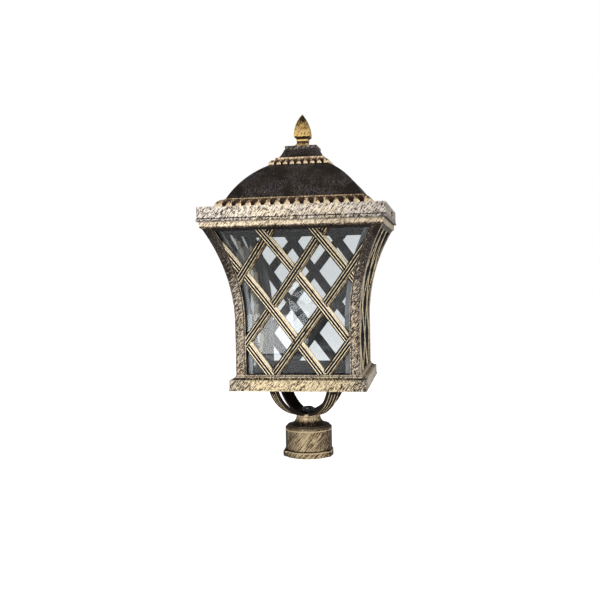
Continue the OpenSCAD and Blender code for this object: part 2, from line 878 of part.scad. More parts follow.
module lamp_holder() {
    color("white")
    difference() {
        union() {
            translate([0, 0, holder_z]) cylinder(r = holder_r, h = holder_h);
            translate([0, 0, holder_z + holder_h - holder_flange_h]) cylinder(r = holder_flange_r, h = holder_flange_h);
        }
        translate([0, 0, holder_z - past]) cylinder(r = holder_bore_r, h = holder_bore_h + past);
        cylinder(r = 2, h = far * 2);
        for (x = [-holder_screw_x, holder_screw_x]) translate([x, 0, holder_z + holder_h - 12])
            cylinder(r = m3[0] + thread_clear, h = far / 4);
    }
}

module holder_screws() {
    color("gray")
    for (x = [-holder_screw_x, holder_screw_x]) translate([x, 0, strap_z])
        rotate([180, 0, 0]) pan_screw(m3, strap_t + 10);
}

// The shell's thread is a plain tube; above it the shell steps in to its crown round the contact
module screw_shell() {
    color("gold")
    translate([0, 0, holder_z + holder_bore_h - shell_h]) difference() {
        union() {
            cylinder(r = shell_r, h = shell_h - shell_crown_h);
            cylinder(r = shell_crown_r + shell_t, h = shell_h);
        }
        translate([0, 0, -past]) cylinder(r = shell_r - shell_t, h = shell_h - shell_crown_h - shell_t + past);
        cylinder(r = shell_crown_r, h = shell_h - shell_t);
        cylinder(r = 6, h = shell_h + past);
    }
}

module centre_contact() {
    color("gold")
    translate([0, 0, holder_z + holder_bore_h]) union() {
        translate([0, 0, -1]) cylinder(r = 4, h = 1);
        translate([0, 0, -shell_crown_h]) cylinder(r1 = 2, r2 = 3, h = shell_crown_h - 0.8);
        cylinder(r = 1.9, h = 6);
    }
}

module terminal_block() {
    color("ivory")
    difference() {
        translate([block_x, -block_w / 2, strap_z]) cube([block_len, block_w, block_h]);
        for (pole = [0:2]) translate([block_x + block_len * (pole + 0.5) / 3, 0, strap_z + block_h / 2]) {
            rotate([90, 0, 0]) cylinder(r = 2.2, h = far, center = true);
            cylinder(r = 1.8 + thread_clear, h = far);
            translate([0, 0, block_h / 2 - 3]) cylinder(r = 3, h = far);
        }
    }
}

module terminal_screws() {
    color("gold")
    for (pole = [0:2]) translate([block_x + block_len * (pole + 0.5) / 3, 0, strap_z + block_h - 3])
        rotate([180, 0, 0]) pan_screw([1.8, 2.7, 2], 4);
}

module earth_screw() {
    color("gray")
    translate([earth_x, 0, strap_z]) rotate([180, 0, 0]) pan_screw([1.5, 3.4, 2.2], strap_t + 5);
}

roof_casting();
finial();
finial_screw();
roof_screws();
top_frame();
frame_screws();
panel_front();
panel_right();
panel_back();
panel_left();
glass_front();
glass_right();
glass_back();
glass_left();
corner_strips();
base_tray();
tray_screws();
inlet_grommet();
arm_spider();
arm_screws();
post_fitter();
hollow_stud();
gland_nut();
lower_nut();
stud_bush();
set_screws();
lamp_strap();
strap_screws();
lamp_holder();
holder_screws();
screw_shell();
centre_contact();
terminal_block();
terminal_screws();
earth_screw();
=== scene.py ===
# %% [markdown]
# # A post top lantern in antique bronze
#
# The lantern is a square cage of woven lattice castings with bent panes behind them.
# A domed roof with two rings of gadroons covers it, and four curved arms carry it on
# a round cup that slips over a post. The solid model gives every piece its true size
# and place. This lesson gives those pieces their finish, and makes the ones with the
# finest relief again as smooth surfaces, worked out with numpy.

# %% Load the solid model
import math

import bmesh
import bpy
import numpy as np
from mathutils import Matrix, Vector


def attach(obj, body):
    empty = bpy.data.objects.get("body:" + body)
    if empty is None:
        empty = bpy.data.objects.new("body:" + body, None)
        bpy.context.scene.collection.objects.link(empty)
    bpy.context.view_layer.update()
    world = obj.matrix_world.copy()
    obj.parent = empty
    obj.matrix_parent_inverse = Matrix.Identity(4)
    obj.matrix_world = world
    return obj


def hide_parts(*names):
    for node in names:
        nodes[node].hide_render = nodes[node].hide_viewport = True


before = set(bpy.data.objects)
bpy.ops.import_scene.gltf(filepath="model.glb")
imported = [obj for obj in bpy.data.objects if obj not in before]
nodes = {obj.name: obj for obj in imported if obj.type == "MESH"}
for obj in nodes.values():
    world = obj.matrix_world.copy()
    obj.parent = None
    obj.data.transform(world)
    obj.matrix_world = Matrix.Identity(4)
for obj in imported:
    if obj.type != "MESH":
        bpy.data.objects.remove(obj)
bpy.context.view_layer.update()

MM = 0.001
print("nodes in the frame:", len(nodes))

# %% [markdown]
# ## The camera
#
# A photograph fixes a camera by its place, three turns and a focal length. These were
# fitted to the corners of the roof, the tray and the cage, so the picture of the model
# lies over the photograph to within a pixel. Yaw turns the view to the left, pitch
# tips it down, and roll is the slight lean of the horizon. A camera that tracks a
# target would be quicker to set up, but it can't lean.

# %% Make the camera
CAMERA_PLACE = (0.2280, -1.4268, 0.3308)
CAMERA_YAW = math.radians(9.508)
CAMERA_PITCH = math.radians(-2.258)
CAMERA_ROLL = math.radians(-1.174)
FOCAL_LENGTH_MM, SENSOR_WIDTH_MM = 49.17, 36
NEAREST_SEEN = 0.01


def view_axes(yaw, pitch, roll):
    """Right, up and back of a camera that looks along +Y before it is turned.

    Forward is (-sin yaw cos pitch, cos yaw cos pitch, sin pitch). Right is forward
    crossed with +Z, up is right crossed with forward, and roll turns these two.
    """
    forward = np.array([-math.sin(yaw) * math.cos(pitch), math.cos(yaw) * math.cos(pitch), math.sin(pitch)])
    right = np.cross(forward, (0, 0, 1))
    right = right / np.linalg.norm(right)
    up = np.cross(right, forward)
    rolled_right = math.cos(roll) * right + math.sin(roll) * up
    rolled_up = math.cos(roll) * up - math.sin(roll) * right
    return rolled_right, rolled_up, -forward


camera_data = bpy.data.cameras.new("camera")
camera_data.lens = FOCAL_LENGTH_MM
camera_data.sensor_width = SENSOR_WIDTH_MM
camera_data.clip_start = NEAREST_SEEN
camera = bpy.data.objects.new("camera", camera_data)
turn = Matrix([list(axis) for axis in view_axes(CAMERA_YAW, CAMERA_PITCH, CAMERA_ROLL)]).transposed()
camera.matrix_world = Matrix.Translation(CAMERA_PLACE) @ turn.to_4x4()
bpy.context.scene.collection.objects.link(camera)
bpy.context.scene.camera = camera
bpy.context.scene.view_settings.view_transform = "Standard"
print("camera at", CAMERA_PLACE)

# %% [markdown]
# ## Helpers for materials
#
# Every finish here is a small network of shader nodes on Object coordinates, which are
# metres in the lantern's own frame. Such a network could be drawn by hand in the shader
# editor. Written as code, it can be read and used again with other numbers. Each method
# below adds one node or two, plugs numbers or sockets into them and returns an output.


# %% A builder for node networks
class Network:
    """Shader nodes that are added to a tree one call at a time."""

    def __init__(self, tree):
        """Begin with an empty tree."""
        self.tree = tree
        self.tree.nodes.clear()

    def node(self, kind):
        """A new shader node of this kind."""
        return self.tree.nodes.new("ShaderNode" + kind)

    def plug(self, socket, value):
        """Link another node's output to the socket, or set the socket to a number or colour."""
        if isinstance(value, bpy.types.NodeSocket):
            self.tree.links.new(value, socket)
        else:
            socket.default_value = value

    def math(self, operation, *values):
        """One operation of the Math node on one, two or three values."""
        node = self.node("Math")
        node.operation = operation
        for socket, value in zip(node.inputs, values):
            self.plug(socket, value)
        return node.outputs[0]

    def chain(self, operation, first, *others):
        """The values joined by the same operation, one after another."""
        for other in others:
            first = self.math(operation, first, other)
        return first

    def add(self, *values):
        """The values added up."""
        return self.chain("ADD", *values)

    def times(self, *values):
        """The values multiplied."""
        return self.chain("MULTIPLY", *values)

    def largest(self, *values):
        """The largest of the values."""
        return self.chain("MAXIMUM", *values)

    def size(self, value):
        """The value without its sign."""
        return self.math("ABSOLUTE", value)

    def total(self, *terms):
        """Sum of value times weight, from (value, weight) pairs."""
        result = 0.0
        for value, weight in terms:
            result = self.math("MULTIPLY_ADD", value, weight, result)
        return result

    def split(self, vector):
        """x, y and z of a vector."""
        node = self.node("SeparateXYZ")
        self.plug(node.inputs[0], vector)
        return node.outputs

    def vector(self, x, y, z):
        """One vector from x, y and z."""
        node = self.node("CombineXYZ")
        for socket, value in zip(node.inputs, (x, y, z)):
            self.plug(socket, value)
        return node.outputs[0]

    def place(self):
        """x, y and z of the surface point, in metres."""
        return self.split(self.node("TexCoord").outputs["Object"])

    def true_normal(self):
        """The direction that the surface faces, before any bump."""
        return self.node("NewGeometry").outputs["True Normal"]

    def painted(self, name):
        """A number that the piece's mesh carries at each vertex."""
        node = self.node("Attribute")
        node.attribute_name = name
        return node.outputs["Fac"]

    def noise(self, vector, scale, detail, roughness, distortion=0.0):
        """Smooth noise around 0.5; detail is the number of finer layers, each weaker by roughness."""
        node = self.node("TexNoise")
        self.plug(node.inputs["Vector"], vector)
        settings = {"Scale": scale, "Detail": detail, "Roughness": roughness, "Distortion": distortion}
        for key, value in settings.items():
            node.inputs[key].default_value = value
        return node.outputs[0]

    def step(self, value, low, high, to_low=0.0, to_high=1.0):
        """A smooth change from to_low where value is low to to_high where it is high; low may be the larger."""
        node = self.node("MapRange")
        node.interpolation_type = "SMOOTHSTEP"
        for socket, number in zip(node.inputs, (value, low, high, to_low, to_high)):
            self.plug(socket, number)
        return node.outputs[0]

    def mix(self, share, first, second):
        """The first colour where share is 0, the second where it is 1."""
        node = self.node("Mix")
        node.data_type = "RGBA"
        self.plug(node.inputs["Factor"], share)
        for socket, value in ((node.inputs[6], first), (node.inputs[7], second)):
            self.plug(socket, (*value, 1.0) if isinstance(value, tuple) else value)
        return node.outputs[2]

    def blend(self, share, first, second):
        """The same for plain numbers."""
        node = self.node("Mix")
        self.plug(node.inputs["Factor"], share)
        self.plug(node.inputs[2], first)
        self.plug(node.inputs[3], second)
        return node.outputs[0]


# %% A material with one main shader
class Finish(Network):
    """A material: a network that ends in one Principled shader."""

    def __init__(self, name):
        """Begin with the main shader, plugged into the material's surface."""
        self.material = bpy.data.materials.new(name)
        self.material.use_nodes = True
        super().__init__(self.material.node_tree)
        self.output = self.node("OutputMaterial")
        self.shader = self.node("BsdfPrincipled")
        self.plug(self.output.inputs["Surface"], self.shader.outputs[0])

    def set(self, **values):
        """Numbers and links for the shader's sockets; an underscore in a name stands for a space."""
        for name, value in values.items():
            self.plug(self.shader.inputs[name.replace("_", " ")], value)

    def bump(self, height, distance):
        """Relief: height from 0 to 1 lifts the surface by up to distance."""
        node = self.node("Bump")
        node.inputs["Distance"].default_value = distance
        self.plug(node.inputs["Height"], height)
        self.plug(self.shader.inputs["Normal"], node.outputs[0])

    def worn_edges(self, radius, low, high):
        """1 along edges, where the rounded normal leans away from the true one: a falling step of their product."""
        rounded = self.node("Bevel")
        rounded.samples = 6
        rounded.inputs["Radius"].default_value = radius
        product = self.node("VectorMath")
        product.operation = "DOT_PRODUCT"
        self.plug(product.inputs[0], rounded.outputs[0])
        self.plug(product.inputs[1], self.true_normal())
        return self.step(product.outputs["Value"], high, low)


print("helpers for node networks:", Network.__name__, Finish.__name__)

# %% [markdown]
# ## The antique bronze
#
# The castings are painted nearly black, then a gold paint is dragged over them with a
# stiff brush. It catches the raised places, breaks up into slanted strokes on flat
# faces, and never reaches the grooves. So the finish has three layers: the dark coat,
# the strokes, and a paler gold on edges and ridges. The strokes could be painted on an
# image. Noise is used here, because it never repeats and runs over every piece without
# a seam. It is stretched along a slanted line in the plane of x + y and z, which slants
# the same way on all four sides.
#
# How far the brush reaches is one number, the coverage: about 0 leaves the dark coat,
# 0.5 covers half of it and 1 nearly all. A casting has one coverage all over, or a
# formula for it, or carries it at each vertex of its own mesh. Several of these also
# add painted light and shade to the coverage.

# %% Colours of the bronze
# each paint is a gold and the paler gold of its highlights
ROOF_PAINT = ((0.34, 0.27, 0.195), (0.68, 0.585, 0.45))
TRAY_PAINT = ((0.36, 0.265, 0.145), (0.76, 0.635, 0.41))
CAGE_PAINT = ((0.27, 0.195, 0.125), (0.68, 0.57, 0.41))
BAR_PAINT = ((0.42, 0.26, 0.105), (0.95, 0.82, 0.58))
FITTER_PAINT = ((0.26, 0.18, 0.10), (0.60, 0.47, 0.29))
FINIAL_PAINT = ((0.33, 0.19, 0.055), (0.58, 0.40, 0.155))
WARM_PAINT = ((0.36, 0.225, 0.115), (0.76, 0.60, 0.40))
# grey gold and its paler gold where the painted sheen falls off, near corners and on side faces
SHEEN_FALLOFF_GREY = ((0.36, 0.32, 0.29), (0.61, 0.55, 0.49))
LAVENDER_GREY = (0.25, 0.225, 0.24)
DARK_COAT = (0.0085, 0.0065, 0.0058)
INNER_COAT = (0.007, 0.008, 0.010)
BROWN_COAT = (0.040, 0.022, 0.012)
print("gold of the roof and the dark coat:", ROOF_PAINT[0], DARK_COAT)

# %% Slanted strokes
STROKE_SLANT, CROSS_SLANT = math.radians(50), math.radians(-36)
# how fine the strokes are across and along, in waves a metre
FLAT_STROKES, FLAT_CROSS = (680.0, 100.0), (640.0, 130.0)
ROUND_STROKES, ROUND_CROSS = (620.0, 60.0), (600.0, 110.0)
STROKE_NOISE = {"scale": 1.0, "detail": 1.0, "roughness": 0.6, "distortion": 0.1}


def brushed(finish, slant, across, along):
    """Strokes on a flat piece: noise on x + y and z, turned by the slant and squeezed across it.

    The third coordinate, x - y, ends the strokes on faces that look up.
    """
    x, y, z = finish.place()
    level = finish.add(x, y)
    cosine, sine = math.cos(slant), math.sin(slant)
    run = finish.total((level, cosine * along), (z, sine * along))
    rise = finish.total((z, cosine * across), (level, -sine * across))
    aside = finish.times(finish.math("SUBTRACT", x, y), along)
    return finish.noise(finish.vector(run, rise, aside), **STROKE_NOISE)


def brushed_round(finish, slant, across, along, radius):
    """Strokes on a round piece: each level is turned back by height / (radius x tan slant), which straightens them."""
    x, y, z = finish.place()
    angle = finish.times(z, 1 / (radius * math.tan(slant)))
    cosine, sine = finish.math("COSINE", angle), finish.math("SINE", angle)
    east = finish.add(finish.times(x, cosine), finish.times(y, sine))
    north = finish.math("SUBTRACT", finish.times(y, cosine), finish.times(x, sine))
    point = finish.vector(finish.times(east, across), finish.times(north, across), finish.times(z, along))
    return finish.noise(point, **STROKE_NOISE)


print("strokes a metre on flat and round pieces:", FLAT_STROKES[0], ROUND_STROKES[0])

# %% Level of the strokes
# the weights add up to 1.36 and each noise averages 0.5, so the level averages 0.68
STROKE_WEIGHT, GRAIN_WEIGHT, CROSS_WEIGHT, PATCH_WEIGHT = 0.70, 0.26, 0.34, 0.06
LIFT_BY_COVERAGE, LIFT_AT_NONE = 0.24, -0.12


def brushed_level(finish, coverage, grain, patches, round_radius, fineness):
    """A weighted sum of strokes, grain, crossing strokes and patches, plus 0.24 x coverage - 0.12."""
    if round_radius is None:
        strokes = brushed(finish, STROKE_SLANT, *(scale * fineness for scale in FLAT_STROKES))
        cross = brushed(finish, CROSS_SLANT, *(scale * fineness for scale in FLAT_CROSS))
    else:
        strokes = brushed_round(finish, STROKE_SLANT, *(scale * fineness for scale in ROUND_STROKES), round_radius)
        cross = brushed_round(finish, CROSS_SLANT, *(scale * fineness for scale in ROUND_CROSS), round_radius)
    level = finish.total((strokes, STROKE_WEIGHT), (grain, GRAIN_WEIGHT), (cross, CROSS_WEIGHT),
                         (patches, PATCH_WEIGHT))
    return finish.add(level, finish.math("MULTIPLY_ADD", coverage, LIFT_BY_COVERAGE, LIFT_AT_NONE))


average_level = 0.5 * (STROKE_WEIGHT + GRAIN_WEIGHT + CROSS_WEIGHT + PATCH_WEIGHT)
print("average level without coverage:", round(average_level + LIFT_AT_NONE, 3))

# %% Gold on edges, and dust
# products of the two normals where an edge is fully worn and where it isn't one
EDGE_LEANS = (0.72, 0.985)
UNBRUSHED_AT, BRUSHED_AT = -0.6, 0.2
DUST_GRAIN, DUST_LEVELS = 850.0, (0.50, 0.68)


def edge_gold(finish, coverage, grain, edge, radius):
    """Worn edges times a step of the grain, times up to edge where the brush passes at all."""
    edges = finish.times(finish.worn_edges(radius, *EDGE_LEANS), finish.step(grain, 0.30, 0.55))
    return finish.times(edges, finish.step(coverage, UNBRUSHED_AT, BRUSHED_AT, 0.0, edge))


def gold_dust(finish, coverage, point, patches):
    """A step of fine noise: dust lies even on the dark coat, 8 to 50 in a hundred by patch, but not in grooves."""
    dust = finish.step(finish.noise(point, DUST_GRAIN, 1.0, 0.6), *DUST_LEVELS)
    return finish.times(dust, finish.step(patches, 0.38, 0.60, 0.08, 0.50), finish.step(coverage, -0.9, -0.3))


print("edges catch gold fully from a coverage of", BRUSHED_AT)

# %% The finish itself
GRAIN, PATCHES = 1150.0, 26.0
GOLD_LEVELS, PALE_LEVELS = (0.635, 0.715), (0.71, 0.80)
INNER_LEVELS = (-1.3, -0.9)
GOLD_METALLIC, COAT_ROUGHNESS, GOLD_ROUGHNESS, PAINT_GLOSS = 0.35, 0.46, 0.40, 0.13
BRUSH_RELIEF = 0.12 * MM


def antique(name, paint, coverage=None, edge=1.0, edge_radius=1.2 * MM, ends=None, cool=0.0,
            round_radius=None, sheen_thinning_at_corners=0.0, warm=None, fineness=1.0):
    """Dark coat, strokes of gold, pale gold on edges.

    Where the brushed level passes one step the gold shows, and above a second one the
    pale gold. Coverage is a number, a formula or, if None, the mesh's own.
    """
    finish = Finish(name)
    point = finish.vector(*finish.place())
    grain = finish.noise(point, GRAIN, 2.0, 0.7)
    patches = finish.noise(point, PATCHES, 2.0, 0.5)
    if coverage is None:
        coverage = finish.painted("coverage")
    elif callable(coverage):
        coverage = coverage(finish)
    # painted sheen: less gold towards the corners
    if sheen_thinning_at_corners > 0:
        coverage = finish.math("SUBTRACT", coverage, finish.times(painted_sheen_falloff(finish), sheen_thinning_at_corners))
    level = brushed_level(finish, coverage, grain, patches, round_radius, fineness)
    edges = edge_gold(finish, coverage, grain, edge, edge_radius)
    dust = gold_dust(finish, coverage, point, patches)
    gold_share = finish.largest(finish.step(level, *GOLD_LEVELS), edges, dust)
    pale_share = finish.largest(finish.step(level, *PALE_LEVELS), finish.times(edges, 0.85))
    gold, pale = paint
    if cool > 0:
        gold = finish.mix(finish.step(patches, 0.42, 0.62, 0.0, cool), gold, LAVENDER_GREY)
    # painted sheen: grey gold where the bright middle of a face ends, near corners and on side faces
    if ends is not None:
        gold = finish.mix(ends(finish), gold, SHEEN_FALLOFF_GREY[0])
        pale = finish.mix(finish.times(ends(finish), 0.7), pale, SHEEN_FALLOFF_GREY[1])
    coat = finish.mix(finish.step(coverage, *INNER_LEVELS), INNER_COAT, DARK_COAT)
    if warm is not None:
        warmth = warm(finish) if callable(warm) else warm
        coat = finish.mix(warmth, coat, BROWN_COAT)
        gold = finish.mix(warmth, gold, WARM_PAINT[0])
        pale = finish.mix(warmth, pale, WARM_PAINT[1])
    finish.set(Base_Color=finish.mix(pale_share, finish.mix(gold_share, coat, gold), pale),
               Metallic=finish.times(gold_share, GOLD_METALLIC), Specular_IOR_Level=PAINT_GLOSS,
               Roughness=finish.blend(gold_share, COAT_ROUGHNESS, GOLD_ROUGHNESS))
    finish.bump(finish.total((gold_share, 0.6), (grain, 0.5)), BRUSH_RELIEF)
    return finish.material


print("relief of the paint in millimetres:", round(BRUSH_RELIEF / MM, 3))

# %% [markdown]
# ## Where the brush reaches, and painted light
#
# On the roof slab and the tray the strokes turn greyer and thinner towards the four
# corners and on the sides, as painted sheen: only the middle of each face shows the
# bright gold of a soft light's broad reflection. On the cage's front and back the gold
# thins out under the roof as painted shade, and its two sides get more as painted light.
# The round fitter is painted paler at its front and back and darker at its sides, as
# painted shade on a lit cylinder. These areas could be painted on the meshes by hand.
# Here each one is a short formula on the place of the point, in metres, or on the way
# that its face looks, because a formula is easy to change.


# %% Corners and sides
def painted_sheen_falloff(finish):
    """Painted sheen falloff: 0 along the middle of a face, which is painted bright as if it mirrored a soft light, and
    1 at its corners, from the smaller of |x| and |y|.
    """
    x, y, z = finish.place()
    return finish.step(finish.math("MINIMUM", finish.size(x), finish.size(y)), 0.055, 0.145)


def sideways(finish):
    """|x| of the true normal: 1 on faces that look to the left or the right."""
    return finish.size(finish.split(finish.true_normal())[0])


def looks_forward(finish):
    """1 on faces that look to the front or the back, 0 on those that look sideways."""
    return finish.step(sideways(finish), 0.75, 0.55)


def grey_outside_painted_sheen(finish):
    """Share of grey gold where the painted sheen falls off: the larger of 0.85 near the corners and 0.75 on the faces
    that look sideways.
    """
    return finish.largest(finish.times(painted_sheen_falloff(finish), 0.85), finish.step(sideways(finish), 0.6, 0.8, 0.0, 0.75))


def reach(finish):
    """Distance from the axis on a square plan: the larger of |x| and |y|."""
    x, y, z = finish.place()
    return finish.largest(finish.size(x), finish.size(y))


# %% Bands at a height
# where each ring of teeth begins, is full, is still full and ends
LARGE_RING_BAND = (0.4320, 0.4335, 0.4470, 0.4480)
SMALL_RING_BAND = (0.5060, 0.5070, 0.5200, 0.5210)


def band(finish, begin, full, still_full, end):
    """1 between two heights: a rising step times a falling one."""
    x, y, z = finish.place()
    return finish.times(finish.step(z, begin, full), finish.step(z, end, still_full))


def ring_warmth(finish):
    """1 on the two rings of teeth, where the coat shows brown between warmer gold."""
    return finish.largest(band(finish, *LARGE_RING_BAND), band(finish, *SMALL_RING_BAND))


def near_level(finish, height, amount):
    """The amount at one height: full within 0.4 mm of it, fading out up to 1.4 mm above and below."""
    x, y, z = finish.place()
    return finish.step(finish.size(finish.math("SUBTRACT", z, height)), 0.0004, 0.0014, amount, 0.0)


# %% Coverage of tray, cage, frame and fitter
def tray_coverage(finish):
    """Full on the rim's outer faces, thinner on the upper step, bare inside and below; less towards the corners as
    painted sheen falloff.
    """
    x, y, z = finish.place()
    outside = finish.step(reach(finish), 0.0995, 0.1020, -1.5, 0.80)
    upper_step = finish.step(z, 0.1462, 0.1472, 0.0, -0.55)
    # the corner term is painted sheen falloff
    return finish.add(outside, upper_step, finish.times(painted_sheen_falloff(finish), -0.5))


def cage_coverage_and_painted_light(finish):
    """What is painted on the mesh, plus painted shade that lowers front and back towards the flared top under the
    roof, and painted light that raises the two sides.
    """
    x, y, z = finish.place()
    forward = looks_forward(finish)
    # painted shade under the roof, on front and back
    top = finish.times(finish.step(z, 0.275, 0.375, 0.0, -0.35), forward)
    # painted light: faces that look sideways get up to 0.5 more
    sides = finish.math("MULTIPLY_ADD", forward, -0.5, 0.5)
    return finish.add(finish.painted("coverage"), top, sides)


def frame_coverage_and_painted_shade(finish):
    """Full on the moulded band's outside, none inside the cage; on front and back its lower edge is darker, as painted
    shade.
    """
    x, y, z = finish.place()
    outside = finish.step(reach(finish), 0.141, 0.1445, -1.3, 0.92)
    # painted shade on the lower edge of front and back
    painted_shade_lower_edge = finish.times(finish.step(z, 0.3975, 0.4015, -0.70, 0.0), looks_forward(finish))
    return finish.add(outside, painted_shade_lower_edge)


def fitter_coverage_and_painted_shade(finish):
    """0.47 + 0.32 cos(2 x angle) round the cup, as painted shade: front and back paler, the sides darker like a lit
    cylinder's shaded edges.

    The shoulder has less and the neck more. A pale line along the cup's rim is edge wear
    with a painted highlight; along the foot a pale line is a painted highlight and a dark
    one above it is painted shade.
    """
    x, y, z = finish.place()
    turn = finish.math("COSINE", finish.times(finish.math("ARCTAN2", x, y), 2.0))
    # painted shade round the cup: darker at the sides
    cup = finish.math("MULTIPLY_ADD", turn, 0.32, 0.47)
    shoulder = finish.step(z, 0.0475, 0.052, 0.0, -0.60)
    neck = finish.step(z, 0.058, 0.065, 0.0, 1.0)
    # painted highlights along the rims and painted shade above the foot; the cup's rim is also edge wear
    lines = [near_level(finish, 0.0463, 0.8), near_level(finish, 0.0092, 0.7), near_level(finish, 0.0112, -1.4)]
    return finish.add(cup, shoulder, neck, *lines)


# %% Finishes of the castings
FITTER_RADIUS = 0.042
THIN_EDGE = 0.8 * MM
# roof and tray carry painted sheen: greyer, thinner gold towards corners and sides
roof_bronze = antique("antique_bronze_roof_painted_sheen", ROOF_PAINT, ends=grey_outside_painted_sheen, cool=0.8, sheen_thinning_at_corners=0.15,
                      warm=ring_warmth, fineness=1.12)
cage_bronze = antique("antique_bronze_cage_painted_light", CAGE_PAINT, coverage=cage_coverage_and_painted_light, edge=0.5,
                      edge_radius=THIN_EDGE, cool=0.5, fineness=1.35)
bar_bronze = antique("antique_bronze_bars_painted_light", BAR_PAINT, edge=0.0, edge_radius=THIN_EDGE)
tray_bronze = antique("antique_bronze_tray_painted_sheen", TRAY_PAINT, coverage=tray_coverage, ends=grey_outside_painted_sheen, fineness=1.1)
frame_bronze = antique("antique_bronze_frame_painted_shade", CAGE_PAINT, coverage=frame_coverage_and_painted_shade, fineness=1.2)
fitter_bronze = antique("antique_bronze_fitter_painted_shade", FITTER_PAINT, coverage=fitter_coverage_and_painted_shade,
                        round_radius=FITTER_RADIUS, fineness=1.25)
screw_bronze = antique("antique_bronze_screws", ROOF_PAINT, coverage=0.55)
finial_bronze = antique("antique_bronze_finial", FINIAL_PAINT, edge=0.5)
arm_bronze = antique("antique_bronze_arms", BAR_PAINT, edge=0.3, edge_radius=0.7 * MM, warm=0.5)
print("bronze finishes:", len(bpy.data.materials))

# %% [markdown]
# ## Plain finishes
#
# Inner fittings are zinc plated steel, brass, glazed ceramic, rubber and black paint.
# One colour with one roughness would do for pieces this small. Each one gets a fine
# grain in colour, gloss and relief instead, because a real surface is never quite even.


# %% Metals, ceramic and black parts
def plain(name, colour, metallic, roughness, grain=600.0, spread=0.25, bump=0.05 * MM, gloss=0.5):
    """A colour that varies with a fine noise, from colour x (1 - spread) to colour x (1 + spread)."""
    finish = Finish(name)
    noise = finish.noise(finish.vector(*finish.place()), grain, 3.0, 0.6)
    low = tuple(c * (1 - spread) for c in colour)
    high = tuple(min(1.0, c * (1 + spread)) for c in colour)
    finish.set(Base_Color=finish.mix(noise, low, high), Metallic=metallic, Specular_IOR_Level=gloss,
               Roughness=finish.blend(noise, roughness * 0.8, min(1.0, roughness * 1.2)))
    finish.bump(noise, bump)
    return finish.material


zinc = plain("zinc_plated_steel", (0.55, 0.56, 0.57), 1.0, 0.35)
mill = plain("mill_aluminium", (0.20, 0.20, 0.205), 1.0, 0.50)
brass = plain("plain_brass", (0.72, 0.53, 0.24), 1.0, 0.30)
ceramic = plain("glazed_ceramic", (0.80, 0.79, 0.75), 0.0, 0.15, grain=300.0, spread=0.05, bump=0.02 * MM)
rubber = plain("black_rubber", (0.016, 0.016, 0.017), 0.0, 0.7)
black_paint = plain("black_paint", (0.006, 0.007, 0.009), 0.0, 0.22, grain=900.0, spread=0.3, bump=0.03 * MM,
                    gloss=0.22)
black_steel = plain("black_steel", (0.03, 0.03, 0.03), 0.8, 0.4)
print("finishes so far:", len(bpy.data.materials))

# %% [markdown]
# ## The glass
#
# The panes are clear. A single sheet with some transparency would render faster, but
# only a pane with two faces mirrors and bends light as the real one does. Light from
# the lamps has to reach the inside too, so a pane lets shadow rays pass, while the
# camera sees real glass with its reflections.

# %% Clear glass
GLASS_TINT = (0.80, 0.825, 0.835, 1.0)
GLASS_INDEX = 1.43
glass_finish = Finish("clear_glass")
glass_finish.set(Base_Color=GLASS_TINT, Roughness=0.0, IOR=GLASS_INDEX, Transmission_Weight=1.0)
passing = glass_finish.node("BsdfTransparent")
passing.inputs[0].default_value = GLASS_TINT
both = glass_finish.node("MixShader")
glass_finish.plug(both.inputs[0], glass_finish.node("LightPath").outputs["Is Shadow Ray"])
glass_finish.plug(both.inputs[1], glass_finish.shader.outputs[0])
glass_finish.plug(both.inputs[2], passing.outputs[0])
glass_finish.plug(glass_finish.output.inputs["Surface"], both.outputs[0])
glass = glass_finish.material
print("index of the glass:", GLASS_INDEX)

# %% [markdown]
# ## Pieces that keep their solid
#
# Frame, tray, fitter, screws and all inner fittings already have their right shape in
# the solid model. They could be modelled again, but that would only add faces. So they
# keep their meshes, and each one gets its finish here. What isn't named is zinc plated,
# or gives way to a smoother piece further down.

# %% Put the finishes on the solid model's pieces
FINISHES = {
    "top_frame": frame_bronze, "base_tray": tray_bronze, "post_fitter": fitter_bronze,
    "roof_screws": screw_bronze, "corner_strips": mill, "gland_nut": black_paint,
    "set_screws": black_steel, "inlet_grommet": rubber, "stud_bush": rubber,
    "lamp_holder": ceramic, "terminal_block": ceramic, "screw_shell": brass,
    "centre_contact": brass, "terminal_screws": brass, "earth_screw": brass,
}
for name, piece in nodes.items():
    piece.data.materials.clear()
    piece.data.materials.append(FINISHES.get(name, zinc))
print("pieces finished:", len(nodes))

# %% [markdown]
# ## Tubes of stations
#
# The castings with fine relief are made again as smooth surfaces. They could be
# sculpted or cut out of blocks. All of them are tubes here: a closed section, carried
# through a row of stations, with a fan of triangles over each end. One array holds the
# points of many tubes, indexed by tube, station and place along the section, so a whole
# lattice or a ring of teeth is worked out at once. A second array of the same form
# holds the coverage of the brush.


